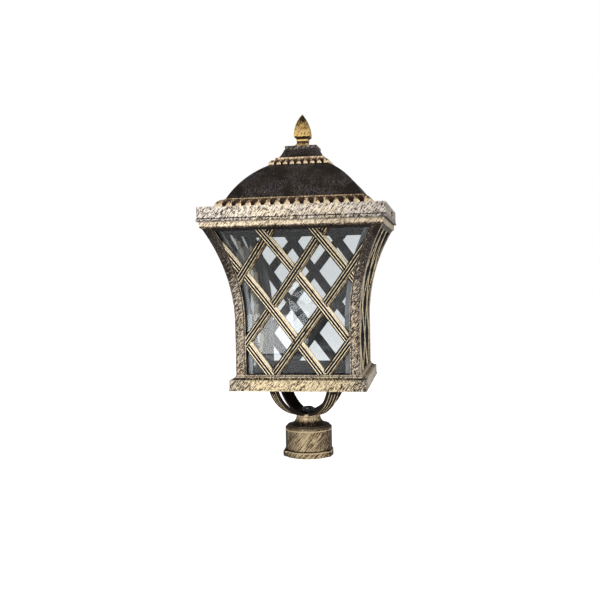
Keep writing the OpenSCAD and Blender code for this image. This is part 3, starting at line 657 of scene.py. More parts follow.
# %% Turn arrays of stations into faces
def tube_mesh(groups):
    """Vertices, faces and coverage of tubes; each group has points (tube, station, section, xyz) and coverage.

    Each point is joined to the next one along the section and to the same two at the
    next station. A point at the mean of each end's ring closes the tube.
    """
    vertices, faces, values, start = [], [], [], 0
    for points, coverage in groups:
        tubes, stations, section = points.shape[:3]
        coverage = np.broadcast_to(coverage, points.shape[:3])
        index = np.arange(tubes * stations * section).reshape(tubes, stations, section) + start
        beside = np.roll(index, -1, axis=2)
        quads = np.stack([index[:, :-1], beside[:, :-1], beside[:, 1:], index[:, 1:]], axis=-1)
        faces += quads.reshape(-1, 4).tolist()
        start += tubes * stations * section
        vertices.append(points.reshape(-1, 3))
        values.append(coverage.ravel())
        for end in (0, -1):
            ring, around = index[:, end], beside[:, end]
            centre = np.arange(tubes)[:, None] + start + 0 * ring
            fan = np.stack([around, ring, centre] if end == 0 else [ring, around, centre], axis=-1)
            faces += fan.reshape(-1, 3).tolist()
            start += tubes
            vertices.append(points[:, end].mean(axis=1))
            values.append(coverage[:, end].mean(axis=1))
    return np.concatenate(vertices), faces, np.concatenate(values)


# %% Turn tubes into a piece
SHARP_ABOVE = math.radians(38.0)


def casting(name, groups, material, stands_for, second=None):
    """A piece made of tubes, in millimetres, that stands for nodes of the solid model.

    Second is another finish and the first group of tubes that gets it.
    """
    vertices, faces, values = tube_mesh(groups)
    mesh = bpy.data.meshes.new(name)
    mesh.from_pydata((vertices * MM).tolist(), [], faces)
    mesh.attributes.new("coverage", "FLOAT", "POINT").data.foreach_set("value", values.astype(np.float32))
    work = bmesh.new()
    work.from_mesh(mesh)
    bmesh.ops.recalc_face_normals(work, faces=work.faces)
    work.to_mesh(mesh)
    work.free()
    mesh.shade_smooth()
    mesh.set_sharp_from_angle(angle=SHARP_ABOVE)
    mesh.materials.append(material)
    if second is not None:
        second_material, first_group = second
        mesh.materials.append(second_material)
        first_face = len(tube_mesh(groups[:first_group])[1])
        places = (np.arange(len(mesh.polygons)) >= first_face).astype(np.int32)
        mesh.polygons.foreach_set("material_index", places)
    piece = bpy.data.objects.new(name, mesh)
    bpy.context.scene.collection.objects.link(piece)
    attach(piece, "root")
    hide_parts(*stands_for)
    print(name, "faces:", len(mesh.polygons))


# %% Quarter turns
def quarter_turn(points, number):
    """The points turned by a number of quarters: (x cos a - y sin a, x sin a + y cos a, z)."""
    cosine, sine = math.cos(number * math.pi / 2), math.sin(number * math.pi / 2)
    x, y, z = points[..., 0], points[..., 1], points[..., 2]
    return np.stack([x * cosine - y * sine, x * sine + y * cosine, z], axis=-1)


def quarter_turns(points):
    """Four copies of the tubes, each turned a quarter further round the axis."""
    return np.concatenate([quarter_turn(points, number) for number in range(4)])


print("a point and its quarter turn:", (1, 0, 0), quarter_turn(np.array([1.0, 0.0, 0.0]), 1).round(3).tolist())

# %% [markdown]
# ## Square profiles with soft corners
#
# The roof and the finial are square in plan. Their stations are squares with slightly
# rounded corners, and a profile of half widths and heights says how the square grows
# and shrinks. A bevel modifier could round the profile's own corners. A short Bezier
# curve at each of them does it here, because it also carries the coverage along. A
# casting has no sharp edge anywhere.


# %% Soften a profile
def soften(profile, radius):
    """Each inner corner becomes a Bezier curve from a cut before it to a cut after it, with its own values kept.

    With t from 0 to 1 a point is (1 - t)^2 first + 2 t (1 - t) corner + t^2 last.
    """
    place, values = profile[:, :2], profile[:, 2:]
    corner = place[1:-1]
    before, after = place[:-2] - corner, place[2:] - corner
    length_before = np.linalg.norm(before, axis=1, keepdims=True)
    length_after = np.linalg.norm(after, axis=1, keepdims=True)
    first = corner + before / length_before * np.minimum(radius, 0.4 * length_before)
    last = corner + after / length_after * np.minimum(radius, 0.4 * length_after)
    t = np.array([0.0, 0.5, 1.0])[None, :, None]
    curve = (1 - t) ** 2 * first[:, None] + 2 * t * (1 - t) * corner[:, None] + t ** 2 * last[:, None]
    kept = np.repeat(values[1:-1, None], 3, axis=1)
    inner = np.concatenate([curve, kept], axis=2).reshape(-1, profile.shape[1])
    return np.concatenate([profile[:1], inner, profile[-1:]])


# %% Square stations
def square_stations(profile, corner=1.2, columns=24):
    """At half width h the point is (h - corner) times a point of the unit square, plus corner times its normal."""
    along = np.linspace(-1, 1, columns + 1)
    turn = np.linspace(0, math.pi / 2, 5)[1:-1]
    side = np.stack([along, -np.ones_like(along)], 1)
    unit = np.concatenate([side, np.ones((len(turn), 2)) * (1, -1)])
    normal = np.concatenate([side * (0, 1), np.stack([np.sin(turn), -np.cos(turn)], 1)])
    quarters = [np.array([[math.cos(a), -math.sin(a)], [math.sin(a), math.cos(a)]])
                for a in np.arange(4) * math.pi / 2]
    unit = np.concatenate([unit @ quarter.T for quarter in quarters])
    normal = np.concatenate([normal @ quarter.T for quarter in quarters])
    half = profile[:, 0][:, None, None]
    radius = np.minimum(corner, half * 0.5)
    flat = (half - radius) * unit[None] + radius * normal[None]
    height = np.broadcast_to(profile[:, 1][:, None, None], flat.shape[:2] + (1,))
    points = np.concatenate([flat, height], axis=2)[None]
    return points, profile[:, 2][None, :, None]


def arc_rows(centre, radius, z_low, z_high, steps, coverage):
    """Rows on a circle: the half width is its centre's, plus the root of radius^2 - (z - centre z)^2."""
    z = np.linspace(z_low, z_high, steps)
    half = centre[0] + np.sqrt(radius ** 2 - (z - centre[1]) ** 2)
    return np.stack([half, z, np.broadcast_to(coverage, z.shape)], 1)


# %% [markdown]
# ## The roof
#
# One hollow casting: a skirted slab, a ledge, a ring of gadroons, a dome, a second ring
# and a plinth. Its profile goes from the plinth's top down the outside to the skirt and
# up again inside. It could be built up from boxes and a domed grid. One profile is
# chosen because the wall then has no seams. The slab took most of the gold, the dome
# stayed nearly black, and a pale line runs along each fillet. Each row below holds a
# half width, a height and a coverage, in millimetres.

# %% Sizes of the roof
SKIRT_Z, SLAB_TOP_Z, CROWN_Z, PLINTH_FOOT_Z, ROOF_TOP_Z = 407.5, 431.5, 506.5, 519.5, 541.0
SLAB_HALF, SLAB_LIP_HALF, SKIRT_INNER_HALF = 151.72, 152.82, 148.7
DOME_CENTRE, DOME_RADIUS, DOME_WALL, DOME_FOOT_Z = (-17.566, 374.213), 149.0, 3.0, 446.5
COVE_CENTRE, COVE_RADIUS, COVE_LOW_Z, COVE_HIGH_Z = (73.5, 551.0), 47.9, 520.5, 534.0
LARGE_RING = {"foot": 128.92, "core": 115.62, "radius": 13.3, "z": SLAB_TOP_Z, "teeth": 16, "depth": 10.1}
SMALL_RING = {"foot": 52.5, "core": 43.5, "radius": 9.0, "z": CROWN_Z, "teeth": 9, "depth": 6.84}
BARE = -2.5
print("roof from", SKIRT_Z, "to", ROOF_TOP_Z)


# %% The roof's profile
def ring_rows(ring):
    """The wall behind a ring's teeth, from its top down to its foot: bare and dark."""
    wall = ring["foot"] - ring["depth"]
    top = ring["z"] + math.sqrt(ring["radius"] ** 2 - (wall - ring["core"]) ** 2)
    return [[ring["core"], ring["z"] + ring["radius"], 0.2], [wall, top, BARE], [wall, ring["z"], BARE]]


def bare_rows(*rows):
    """Rows of half width and height that the brush never reached."""
    return np.array([[half, z, BARE] for half, z in rows])


cove_z = np.linspace(COVE_HIGH_Z, COVE_LOW_Z, 9)
cove_half = COVE_CENTRE[0] - np.sqrt(COVE_RADIUS ** 2 - (cove_z - COVE_CENTRE[1]) ** 2)
cove_rows = np.stack([cove_half, cove_z, np.full(9, -0.40)], 1)
top_rows = [[6.0, ROOF_TOP_Z, 0.1], [27.5, ROOF_TOP_Z, 0.25], [27.5, 535.0, 0.1]]
small_rows = [[37.6, PLINTH_FOOT_Z, -0.2], [42.0, PLINTH_FOOT_Z, 1.0], [42.0, 515.5, 0.5]] + ring_rows(SMALL_RING)
dome_rows = arc_rows(DOME_CENTRE, DOME_RADIUS, CROWN_Z, DOME_FOOT_Z, 24, 0.0)
dome_rows[:, 2] = np.interp(dome_rows[:, 1], [DOME_FOOT_Z, 449.0, 480.0, CROWN_Z], [-0.05, -0.30, -0.42, -0.30])
large_rows = [[114.32, DOME_FOOT_Z, 0.85], [114.32, 444.9, 0.3]] + ring_rows(LARGE_RING)
slab_rows = [[129.5, SLAB_TOP_Z, 0.2], [SLAB_HALF - 2, SLAB_TOP_Z, 0.5], [SLAB_HALF, SLAB_TOP_Z, 0.8],
             [SLAB_HALF, 429.0, 0.78], [SLAB_HALF, 415.0, 0.80], [SLAB_HALF, SKIRT_Z + 4.6, 0.1],
             [SLAB_LIP_HALF, SKIRT_Z + 4.0, 0.75], [SLAB_LIP_HALF, SKIRT_Z, 0.3]]
outside = np.concatenate([top_rows, cove_rows, small_rows, dome_rows, large_rows, slab_rows])
inner_low = bare_rows((SKIRT_INNER_HALF, SKIRT_Z), (SKIRT_INNER_HALF, 428.5), (109.3, 428.5), (109.3, DOME_FOOT_Z))
inner_dome = arc_rows(DOME_CENTRE, DOME_RADIUS - DOME_WALL, 447.5, 503.0, 18, BARE)
inner_top = bare_rows((31.5, 503.5), (31.5, 515.5), (24.5, 515.5), (24.5, 537.0), (6.0, 537.0))
roof_profile = np.concatenate([soften(outside, 0.5), inner_low, inner_dome, inner_top])
print("rows in the roof's profile:", len(roof_profile))

# %% [markdown]
# ## Gadroons
#
# Each tooth of a ring is a small lobe that rolls over from the ledge to the dome. One
# tooth could be modelled and copied with an array modifier, but the corner teeth have
# to end on the mitre, and the lobes lean outwards towards the corners. As an array of
# tubes every tooth gets its own form. Its stations go round a quarter circle and its
# section is a crowned strip. The brush hit the lower ends, which stand upright, and
# left the tops brown and the gaps black.

# %% Section and coverage of a tooth
tooth_angles = [0.5, 10, 20, 32, 44, 56, 68, 80, 89.5]
tooth_across = np.array([-1.0, -0.86, -0.55, 0.0, 0.55, 0.86, 1.0, 1.0, -1.0])
tooth_crown = np.array([0.84, 0.93, 0.985, 1.0, 0.985, 0.93, 0.84, 0.15, 0.15])
tooth_paint = np.interp(tooth_angles, [0, 6, 20, 30, 70, 90], [0.6, 1.35, 1.25, 0.55, 0.40, 0.35])
gap_paint = np.array([-1.6, -0.3, 0.0, 0.1, 0.0, -0.3, -1.6, BARE, BARE])
print("stations and section of a tooth:", len(tooth_angles), len(tooth_across))


# %% Teeth of a ring
def gadroons(ring):
    """At angle a of the quarter circle and at crown c the half width is core + r c cos a and the height z + r c sin a.

    The teeth stand side by side, and their pitch shrinks with the half width. A tooth
    is 0.46 + 0.30 cos(a)^8 of its pitch wide, so it is widest at its foot.
    """
    teeth = ring["teeth"]
    pitch = 2 * ring["foot"] / teeth
    angle = np.radians(tooth_angles)[None, :, None]
    across = tooth_across[None, None, :]
    bulge = ring["radius"] * tooth_crown[None, None, :]
    half = ring["core"] + bulge * np.cos(angle)
    height = ring["z"] + bulge * np.sin(angle)
    number = np.arange(teeth)[:, None, None]
    centre = (number + 0.5) * pitch - ring["foot"]
    scale = (ring["core"] + ring["radius"] * np.cos(angle)) / ring["foot"]
    width = 0.5 * pitch * (0.46 + 0.30 * np.cos(angle) ** 8)
    x = centre * scale + width * across + 0 * half
    # the outer half of each end tooth reaches to the mitre
    x = np.where((number == 0) & (across < -0.5), -half, x)
    x = np.where((number == teeth - 1) & (across > 0.5), half, x)
    points = np.stack(np.broadcast_arrays(np.clip(x, -half, half), -half, height), axis=-1)
    coverage = tooth_paint[None, :, None] + gap_paint[None, None, :]
    return quarter_turns(points), coverage


# %% Bosses under the dome
def shell_height(half):
    """Height of the middle of the dome's shell at a distance from the axis, on a circle between its two faces."""
    middle = DOME_RADIUS - DOME_WALL / 2
    return DOME_CENTRE[1] + np.sqrt(np.maximum(middle ** 2 - (half - DOME_CENTRE[0]) ** 2, 0))


def rods(centres, radius, z_low, z_high, sides=24):
    """Upright round rods, one at each centre: (x + r cos a, y + r sin a), and no higher than the dome's shell."""
    angle = np.linspace(0, 2 * math.pi, sides, endpoint=False)
    centres = np.asarray(centres, float)
    x = centres[:, 0][:, None, None] + radius * np.cos(angle)[None, None, :]
    y = centres[:, 1][:, None, None] + radius * np.sin(angle)[None, None, :]
    top = np.minimum(z_high, shell_height(np.maximum(np.abs(x), np.abs(y))))
    z = np.concatenate([z_low + 0 * top, top], axis=1)
    return np.stack(np.broadcast_arrays(x, y, z), axis=-1), BARE


STRAP_BOSS_AT, STRAP_BOSS_RADIUS, STRAP_Z = 72.0, 6.0, 468.0
strap_bosses = rods([(-STRAP_BOSS_AT, 0), (STRAP_BOSS_AT, 0)], STRAP_BOSS_RADIUS, STRAP_Z, 496.0)
casting("roof", [square_stations(roof_profile), gadroons(LARGE_RING), gadroons(SMALL_RING), strap_bosses],
        roof_bronze, ["roof_casting"])

# %% [markdown]
# ## The finial
#
# A four sided spear on a short neck with a ring. Its faces are arcs that meet in a
# point, so its half width could be drawn by hand, but the circle through the widest
# place and the tip gives it exactly. The gold is full on the lower half of the spear
# and thins out into the dark coat towards the tip.

# %% The spear
SPEAR_Z, SPEAR_HEIGHT, SPEAR_HALF = 559.5, 39.0, 13.8
# a circle that is upright at the widest place and reaches the axis at the tip
spear_radius = (SPEAR_HEIGHT ** 2 + SPEAR_HALF ** 2) / (2 * SPEAR_HALF)
spear_z = SPEAR_Z + SPEAR_HEIGHT * np.linspace(0.0, 0.985, 22)
spear_half = np.sqrt(spear_radius ** 2 - (spear_z - SPEAR_Z) ** 2) - (spear_radius - SPEAR_HALF)
spear_paint = np.interp(spear_z, [SPEAR_Z, 566, 578, 589, 598], [1.1, 0.95, 0.62, 0.15, -0.1])
spear_rows = np.stack([spear_half, spear_z, spear_paint], 1)
neck_rows = np.array([[2.0, ROOF_TOP_Z, 0.0], [12.8, ROOF_TOP_Z, 1.2], [12.8, 543.0, 1.2], [9.2, 547.6, 0.2],
                      [9.2, 549.8, -0.2], [10.0, 551.2, 1.4], [10.0, 553.6, 1.4], [9.4, 554.6, -0.5],
                      [13.2, 557.6, 0.2], [13.8, 559.3, 1.3]])
finial_profile = np.concatenate([soften(neck_rows, 0.5), spear_rows[1:]])
casting("finial_spear", [square_stations(finial_profile, 0.5, 10)], finial_bronze, ["finial"])

# %% [markdown]
# ## The bent wall
#
# Panels and panes share one bent wall. It is upright up to the bend, and then follows
# a circle whose centre lies outside the cage. Flat panels could be bent with a
# modifier, but that keeps their length along the bend, so they would come out too low.
# Here a point of the wall is named by x, z and its depth behind the outer face, and a
# function finds its place on the front wall. The other three are quarter turns of it.

# %% Map x, height and depth to the front wall
FOOT_HALF, FLARE_RADIUS, BEND_Z = 104.0, 317.0, 240.0
WINDOW_HALF, WINDOW_FLARE_RADIUS = 86.7, 325.0
PANEL_Z, SILL_Z, HEAD_Z, PANEL_TOP_Z = 149.5, 155.0, 392.5, 396.5


def wall_half(z, depth):
    """Distance from the axis to the wall: foot less depth, or centre less the root of (radius + depth)^2 - rise^2."""
    rise = np.maximum(z - BEND_Z, 0.0)
    return FOOT_HALF + FLARE_RADIUS - np.sqrt((FLARE_RADIUS + depth) ** 2 - rise ** 2)


def window_half(z):
    """Half width of the opening between the posts, on a circle of its own, as the posts widen a little upwards."""
    rise = np.maximum(z - BEND_Z, 0.0)
    return WINDOW_HALF + WINDOW_FLARE_RADIUS - np.sqrt(WINDOW_FLARE_RADIUS ** 2 - rise ** 2)


def on_front_wall(x, z, depth):
    """The point (x, minus the wall's half width at z and depth, z)."""
    x, z, depth = np.broadcast_arrays(x, z, depth)
    return np.stack([x, -wall_half(z, depth), z], axis=-1)


print("wall's half width at foot and top:", wall_half(PANEL_Z, 0.0), round(float(wall_half(PANEL_TOP_Z, 0.0)), 1))

# %% [markdown]
# ## Posts and rails
#
# A post is a strip between the window and the mitre. Its section steps back by a
# shallow rebate beside the window. Boxes with a bevel would give the same edges, but
# not the bend. The upper part of each post lies in the roof's shade, which is painted
# in as less gold. The bottom rail carries two small beads.

# %% Post tubes
MITRE_GAP = 0.1
post_z = np.concatenate([np.linspace(PANEL_Z, BEND_Z, 14), np.linspace(BEND_Z, PANEL_TOP_Z, 46)[1:]])
post_depth = np.array([10.0, 1.9, 1.2, 1.2, 0.9, 0.35, 0.0, 0.0, 0.25, 10.0])
post_lift = np.array([BARE, -0.6, 0.5, -0.5, -0.5, 0.1, 0.3, 0.0, 0.35, BARE])
# painted shade: the level falls towards the top, where the roof shades the posts
post_level_and_painted_shade = np.interp(post_z, [150, 240, 300, 345, 396], [0.38, 0.36, 0.28, 0.14, 0.02])


def post_tubes():
    """The left and right post: ten points from the window over the rebate to the mitre, at every height."""
    z = post_z[:, None]
    from_window = window_half(z) + np.array([0.0, 0.0, 0.5, 2.6, 3.0, 3.0, 3.5])
    outer, inner = wall_half(z, 0.0) - MITRE_GAP, wall_half(z, 10.0) - MITRE_GAP
    right = on_front_wall(np.concatenate([from_window, outer - 0.9, outer, inner], axis=1), z, post_depth)[None]
    coverage = np.where(post_lift > BARE, post_level_and_painted_shade[:, None] + post_lift, BARE)[None]
    return np.concatenate([right, right * (-1, 1, 1)]), np.concatenate([coverage, coverage])


print("heights along a post:", len(post_z))


# %% Rail tubes
def to_posts(z, depth):
    """Half length of a rail that ends in the posts."""
    return window_half(z) + 1.0


def to_mitre(z, depth):
    """Half length of a bead that runs to the corner."""
    return wall_half(z, depth) - MITRE_GAP


def rail(z_low, z_high, depth_out, depth_in, lift, half_length):
    """A band from side to side with softened outer corners; half_length gives its end at each height and depth."""
    z = np.array([z_low, z_low + 0.3, z_high - 0.3, z_high, z_high, z_low])[None, None, :]
    middle = depth_out + 0.3
    depth = np.array([middle, depth_out, depth_out, middle, depth_in, depth_in])[None, None, :]
    x = np.linspace(-1, 1, 3)[None, :, None] * half_length(z, depth)
    coverage = np.array([lift - 0.3, lift, lift, lift + 0.1, BARE, BARE])[None, None, :]
    return on_front_wall(x, z, depth), coverage


rails = [rail(PANEL_Z, 152.4, 0.0, 9.9, 0.1, to_posts), rail(151.9, SILL_Z, 1.2, 9.8, 0.1, to_posts),
         rail(HEAD_Z, PANEL_TOP_Z, 1.2, 9.8, -0.3, to_posts),
         rail(PANEL_Z, PANEL_Z + 2.2, -1.6, 0.4, 0.75, to_mitre),
         rail(PANEL_Z + 3.0, PANEL_Z + 4.6, -0.8, 0.4, 0.8, to_mitre)]
print("rails and beads of a panel:", len(rails))

# %% [markdown]
# ## The woven lattice
#
# This is the feature that takes the most skill. Each bar is a strip with three rounded
# reeds on its face and sloping flanks. It runs straight when seen from the front, and
# follows the bent wall in depth. At every crossing one bar's reeds pass over and the
# other's stop, and the two directions take turns row by row. Bars joined by booleans
# would cost many cuts and leave ragged edges. Here the lines of all bars are worked out
# together: each line is cut where it meets the window, and the depth of each point
# comes from the section and from the weave.

# %% Section of a bar
RUN, RISE, FIRST_ROW_Z = 43.35, 57.8, 150.2
LEAN_ANGLE = math.atan2(RISE, RUN)
REED_FLOOR, REED_TOP, REED_PITCH, REED_HALF = 2.8, 1.2, 4.4, 1.12
reed_offsets = np.array([-1.1, -0.75, -0.3, 0.3, 0.75, 1.1])
# a reed is half an ellipse: height x root of 1 - (offset / half width)^2
reed_heights = np.sqrt(np.clip(1 - (reed_offsets / REED_HALF) ** 2, 0, None)) * (REED_FLOOR - REED_TOP)
reed_paint = np.array([BARE, 0.3, 1.5, 1.5, 0.3, BARE])
face_across = np.concatenate([centre + reed_offsets for centre in (-REED_PITCH, 0.0, REED_PITCH)])
flank_across = np.array([5.75, 6.15, 6.9, 7.6, 8.0])
flank_depth = np.array([2.6, 2.9, 5.0, 7.6, 10.0])
section_across = np.concatenate([-flank_across[::-1], face_across, flank_across])
section_depth = np.concatenate([flank_depth[::-1], np.full(18, REED_FLOOR), flank_depth])
section_height = np.concatenate([np.zeros(5), np.tile(reed_heights, 3), np.zeros(5)])
# painted light: the right flank looks towards the light at the upper right and gets a painted highlight,
# brightest on bars of lean 1, where it also looks up; the left flank looks away and is painted nearly bare, as painted
# shade
PAINTED_SHADE_LEFT_FLANK = [-1.5, -0.9, -1.2, -1.6, -2.2]
bar_paint_and_painted_light = {
    1: np.concatenate([PAINTED_SHADE_LEFT_FLANK, np.tile(reed_paint, 3), [1.0, 1.8, 1.8, 1.5, 0.3]]),
    -1: np.concatenate([PAINTED_SHADE_LEFT_FLANK, np.tile(reed_paint, 3) - 0.35, [0.2, 0.75, 0.65, 0.3, -0.4]]),
}
print("points across a bar:", len(section_across))

# %% Lines of the bars, cut at the window
OVERLAP = 0.8
bar_columns = np.array([-1.0, 1.0, 3.0, 5.0, 7.0, 9.0])


def bar_point(lean, column, height, across):
    """x falls by run / rise of the height for lean 1 and grows for lean -1; across moves square to the bar."""
    x = lean * (column * RUN - (height - FIRST_ROW_Z) * RUN / RISE)
    return x + across * math.sin(LEAN_ANGLE), height + lean * across * math.cos(LEAN_ANGLE)


def cut_lines(lean, columns):
    """First and last height, for each bar and each place across it, that lie inside the window."""
    heights = np.linspace(120.0, 430.0, 1241)
    x, z = bar_point(lean, columns[:, None, None], heights[None, None, :], section_across[None, :, None])
    inside = (np.abs(x) < window_half(z) + OVERLAP) & (z > SILL_Z - OVERLAP) & (z < HEAD_Z + OVERLAP)
    first = heights[np.argmax(inside, axis=2)]
    last = heights[len(heights) - 1 - np.argmax(inside[:, :, ::-1], axis=2)]
    whole = inside.any(axis=2).all(axis=1)
    return columns[whole], first[whole], last[whole]


# %% The weave
CROSSING_HALF, CROSSING_FADE = 6.7, 0.9
UNDER_PAINT = -1.6
SHADE_LOW_Z, SHADE_HIGH_Z, SHADE_UNDER_ROOF = 330.0, 392.0, -0.35


def passes_under(lean, x, z):
    """1 where a crossing bar passes over.

    The distance to the nearest line of the other lean is taken, and it counts in every
    second row only: odd rows for lean 1 and even rows for lean -1.
    """
    shift = (-lean * x / RUN + (z - FIRST_ROW_Z) / RISE - 1) / 2
    away = np.abs(shift - np.round(shift)) * 2 * RUN * math.sin(LEAN_ANGLE)
    row = np.round((z - FIRST_ROW_Z) / RISE)
    under_row = (row % 2) == (1 if lean > 0 else 0)
    return np.clip((CROSSING_HALF - away) / CROSSING_FADE, 0, 1) * under_row


def bar_tubes(lean):
    """All bars of one lean as tubes along their lines; a reed that passes under sinks 0.3 below its floor."""
    columns, first, last = cut_lines(lean, bar_columns)
    share = np.linspace(0, 1, 150)[None, :, None]
    height = first[:, None, :] + (last - first)[:, None, :] * share
    x, z = bar_point(lean, columns[:, None, None], height, section_across[None, None, :])
    under = passes_under(lean, x, z)
    depth = section_depth - section_height * (1 - under) + 0.3 * under * (section_height > 0)
    # the coverage carries the flanks' painted highlight and painted shade
    coverage = bar_paint_and_painted_light[lean] * (1 - under) + UNDER_PAINT * under
    shade = np.interp(z, [SHADE_LOW_Z, SHADE_HIGH_Z], [0.0, SHADE_UNDER_ROOF])
    print("bars leaning", lean, ":", len(columns))
    return on_front_wall(x, z, depth), coverage + shade


# %% The four panels
SIDES = ("front", "right", "back", "left")
plain_groups = [post_tubes()] + rails
panel_groups = plain_groups + [bar_tubes(1), bar_tubes(-1)]
for number, side in enumerate(SIDES):
    turned = [(quarter_turn(points, number), coverage) for points, coverage in panel_groups]
    casting("lattice_" + side, turned, cage_bronze, ["panel_" + side], second=(bar_bronze, len(plain_groups)))

# %% [markdown]
# ## The panes
#
# Each pane is a sheet bent to the same wall, a quarter of a millimetre behind the
# casting. A plane with a Solidify modifier would do, but the wall's formula already
# gives both faces. Many rows keep the bend smooth, so reflections slide over the pane
# in one piece.

# %% Bent panes
PANE_OUTER, PANE_INNER, PANE_TOP_Z, PANE_END_DEPTH = 10.25, 13.25, 396.0, 13.65
pane_z = np.concatenate([np.linspace(PANEL_Z, BEND_Z, 10), np.linspace(BEND_Z, PANE_TOP_Z, 50)[1:]])[:, None]
pane_x = wall_half(pane_z, PANE_END_DEPTH) * np.array([-1, 1, 1, -1])
pane = on_front_wall(pane_x, pane_z, np.array([PANE_OUTER, PANE_OUTER, PANE_INNER, PANE_INNER]))[None]
for number, side in enumerate(SIDES):
    casting("pane_" + side, [(quarter_turn(pane, number), 0.0)], glass, ["glass_" + side])

# %% [markdown]
# ## Arms and hub
#
# An arm is a flat strip bent to a quarter of a circle, with four rounded ridges along
# its outer side. Only the ridges caught the gold. A bevelled curve could carry a strip
# as well, but its ends would be square, and these are cut level with the tray. The four
# arms run into a round hub that the nut clamps to the neck of the fitter.

# %% Section and stations of an arm
ARM_CENTRE_R, ARM_CENTRE_Z, ARM_RADIUS, TRAY_Z = 7.0, 143.0, 73.0, 128.5
ARM_HALF_WIDTH, ARM_STATIONS = 12.5, 44
FIRST_ARM_ANGLE = math.radians(-84.5)
ridge_offsets = np.array([-1.75, -1.3, -0.5, 0.5, 1.3, 1.75])
ridge_reach = [71.55, 72.45, ARM_RADIUS, ARM_RADIUS, 72.45, 71.55]
ridge_paint = [BARE, -0.8, 1.15, 1.15, -0.8, BARE]
ridges_across = [centre + ridge_offsets for centre in (-9.37, -3.12, 3.12, 9.37)]
arm_across = np.concatenate([[-ARM_HALF_WIDTH]] + ridges_across
                            + [[ARM_HALF_WIDTH, ARM_HALF_WIDTH, 11.9, -11.9, -ARM_HALF_WIDTH]])
arm_reach = np.concatenate([[71.5], np.tile(ridge_reach, 4), [71.5, 67.6, 67.0, 67.0, 67.6]])
arm_paint = np.concatenate([[-1.2], np.tile(ridge_paint, 4), [-1.2, -1.6, BARE, BARE, -1.6]])
# the last station is cut level with the tray, so its angle depends on the reach
last_angle = np.arcsin((TRAY_Z - ARM_CENTRE_Z) / arm_reach)[None]
arm_angle = FIRST_ARM_ANGLE + (last_angle - FIRST_ARM_ANGLE) * np.linspace(0, 1, ARM_STATIONS)[:, None]
# a point lies at its reach from the arm's centre: centre + reach x (cosine, sine) of its angle
from_axis = ARM_CENTRE_R + arm_reach * np.cos(arm_angle)
arm_height = ARM_CENTRE_Z + arm_reach * np.sin(arm_angle)
# an eighth of a turn brings the arm from the x axis to a corner of the tray
DIAGONAL = math.sqrt(0.5)
arm = np.stack([DIAGONAL * (from_axis - arm_across), DIAGONAL * (from_axis + arm_across), arm_height], axis=-1)
arms = (quarter_turns(arm[None]), arm_paint[None, None])
print("points across an arm and along it:", len(arm_across), ARM_STATIONS)


# %% The hub and the screw bosses
def turned_ring(profile, sides=64):
    """A closed profile of radius, height and coverage, carried once round the axis: (r cos a, r sin a, z)."""
    angle = np.linspace(0, 2 * math.pi, sides, endpoint=False)[None, None, :]
    rows = np.concatenate([profile, profile[:1]])
    radius, z = rows[:, 0][None, :, None], rows[:, 1][None, :, None]
    points = np.stack(np.broadcast_arrays(radius * np.cos(angle), radius * np.sin(angle), z), axis=-1)
    return points, rows[:, 2][None, :, None]


HUB_Z, HUB_TOP_Z, HUB_BORE = 68.5, 74.5, 8.3
hub = turned_ring(np.array([[HUB_BORE, HUB_Z, BARE], [20.4, HUB_Z, 0.3], [21.0, HUB_Z + 0.7, 0.9],
                            [21.0, HUB_TOP_Z - 0.9, 0.9], [20.2, HUB_TOP_Z, 0.2], [HUB_BORE, HUB_TOP_Z, BARE]]))
ARM_BOSS_RADIUS, ARM_BOSS_Z, ARM_BOSS_INSET = 6.0, 114.5, 7.5
# where the arm's outer side meets the tray, less the inset
arm_end = ARM_CENTRE_R + math.sqrt(ARM_RADIUS ** 2 - (ARM_CENTRE_Z - TRAY_Z) ** 2)
boss_at = (arm_end - ARM_BOSS_INSET) * DIAGONAL
corners = [(boss_at * x, boss_at * y) for x in (-1, 1) for y in (-1, 1)]
arm_bosses = rods(corners, ARM_BOSS_RADIUS, ARM_BOSS_Z, TRAY_Z)
casting("arms_and_hub", [arms, hub, arm_bosses], arm_bronze, ["arm_spider"])

# %% [markdown]
# ## Floor, world and lamps
#
# The lantern stands on a pale floor that runs into a white background. More light would
# whiten them too, but it would bleach the gold. So floor and world have one strength
# for the light that falls on the lantern, a lower one for what its metal and glass
# mirror, and one near white for the eye. One tall soft box stands at the left front,
# low enough to be mirrored in the upright part of the panes. A brighter one hangs high
# at the right, and the world adds an even, plain light.


# %% Strength of the backdrop
def backdrop_strength(network, lighting, mirrored, seen):
    """One strength for light on the object, one for mirrored views, and one for the eye and views through glass."""
    path = network.node("LightPath").outputs
    direct = network.largest(path["Is Camera Ray"], path["Is Transmission Ray"])
    not_mirrored = network.math("LESS_THAN", path["Glossy Depth"], 0.5)
    unseen = network.blend(path["Is Glossy Ray"], lighting, mirrored)
    return network.blend(network.times(direct, not_mirrored), unseen, seen)


print("the backdrop has strengths for lighting, mirrored and seen")

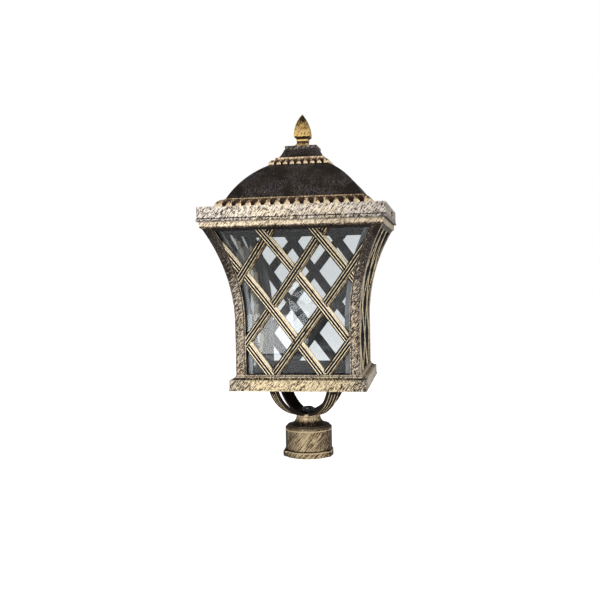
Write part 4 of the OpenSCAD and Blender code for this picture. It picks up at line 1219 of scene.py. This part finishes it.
# %% Floor
FLOOR_HALF, FLOOR_Z, FLOOR_GREY = 6.0, -0.0002, 0.80
floor_material = bpy.data.materials.new("pale_floor")
floor_material.use_nodes = True
floor_network = Network(floor_material.node_tree)
diffuse = floor_network.node("BsdfDiffuse")
diffuse.inputs[0].default_value = (FLOOR_GREY, FLOOR_GREY, FLOOR_GREY, 1.0)
glow = floor_network.node("Emission")
floor_strength = backdrop_strength(floor_network, lighting=0.0, mirrored=0.05, seen=0.80)
floor_network.plug(glow.inputs["Strength"], floor_strength)
summed = floor_network.node("AddShader")
floor_network.plug(summed.inputs[0], diffuse.outputs[0])
floor_network.plug(summed.inputs[1], glow.outputs[0])
floor_network.plug(floor_network.node("OutputMaterial").inputs["Surface"], summed.outputs[0])
floor_mesh = bpy.data.meshes.new("floor")
floor_corners = [(x * FLOOR_HALF, y * FLOOR_HALF, FLOOR_Z) for x, y in ((-1, -1), (1, -1), (1, 1), (-1, 1))]
floor_mesh.from_pydata(floor_corners, [], [(0, 1, 2, 3)])
floor_mesh.materials.append(floor_material)
floor = bpy.data.objects.new("floor", floor_mesh)
bpy.context.scene.collection.objects.link(floor)
print("floor's half width in metres:", FLOOR_HALF)

# %% World
world = bpy.data.worlds.new("studio")
bpy.context.scene.world = world
world.use_nodes = True
world_network = Network(world.node_tree)
background = world_network.node("Background")
background.inputs["Color"].default_value = (1, 1, 1, 1)
world_strength = backdrop_strength(world_network, lighting=0.40, mirrored=0.22, seen=1.0)
world_network.plug(background.inputs["Strength"], world_strength)
world_network.plug(world_network.node("OutputWorld").inputs[0], background.outputs[0])
print("nodes of the world:", len(world.node_tree.nodes))

# %% Soft boxes
LIT_POINT = (0, 0, 0.30)


def soft_box(name, place, width, height, radiance):
    """A rectangular lamp that faces the lantern; its power is radiance x pi x area."""
    data = bpy.data.lights.new(name, "AREA")
    data.shape = "RECTANGLE"
    data.size, data.size_y = width, height
    data.energy = radiance * math.pi * width * height
    lamp = bpy.data.objects.new(name, data)
    aim = (Vector(LIT_POINT) - Vector(place)).to_track_quat("-Z", "Y")
    lamp.matrix_world = Matrix.Translation(place) @ aim.to_matrix().to_4x4()
    bpy.context.scene.collection.objects.link(lamp)


soft_box("soft_box_left", place=(-0.62, -1.65, 0.55), width=0.70, height=1.10, radiance=5.4)
soft_box("soft_box_right", place=(1.5, -1.0, 1.25), width=0.7, height=0.9, radiance=15.0)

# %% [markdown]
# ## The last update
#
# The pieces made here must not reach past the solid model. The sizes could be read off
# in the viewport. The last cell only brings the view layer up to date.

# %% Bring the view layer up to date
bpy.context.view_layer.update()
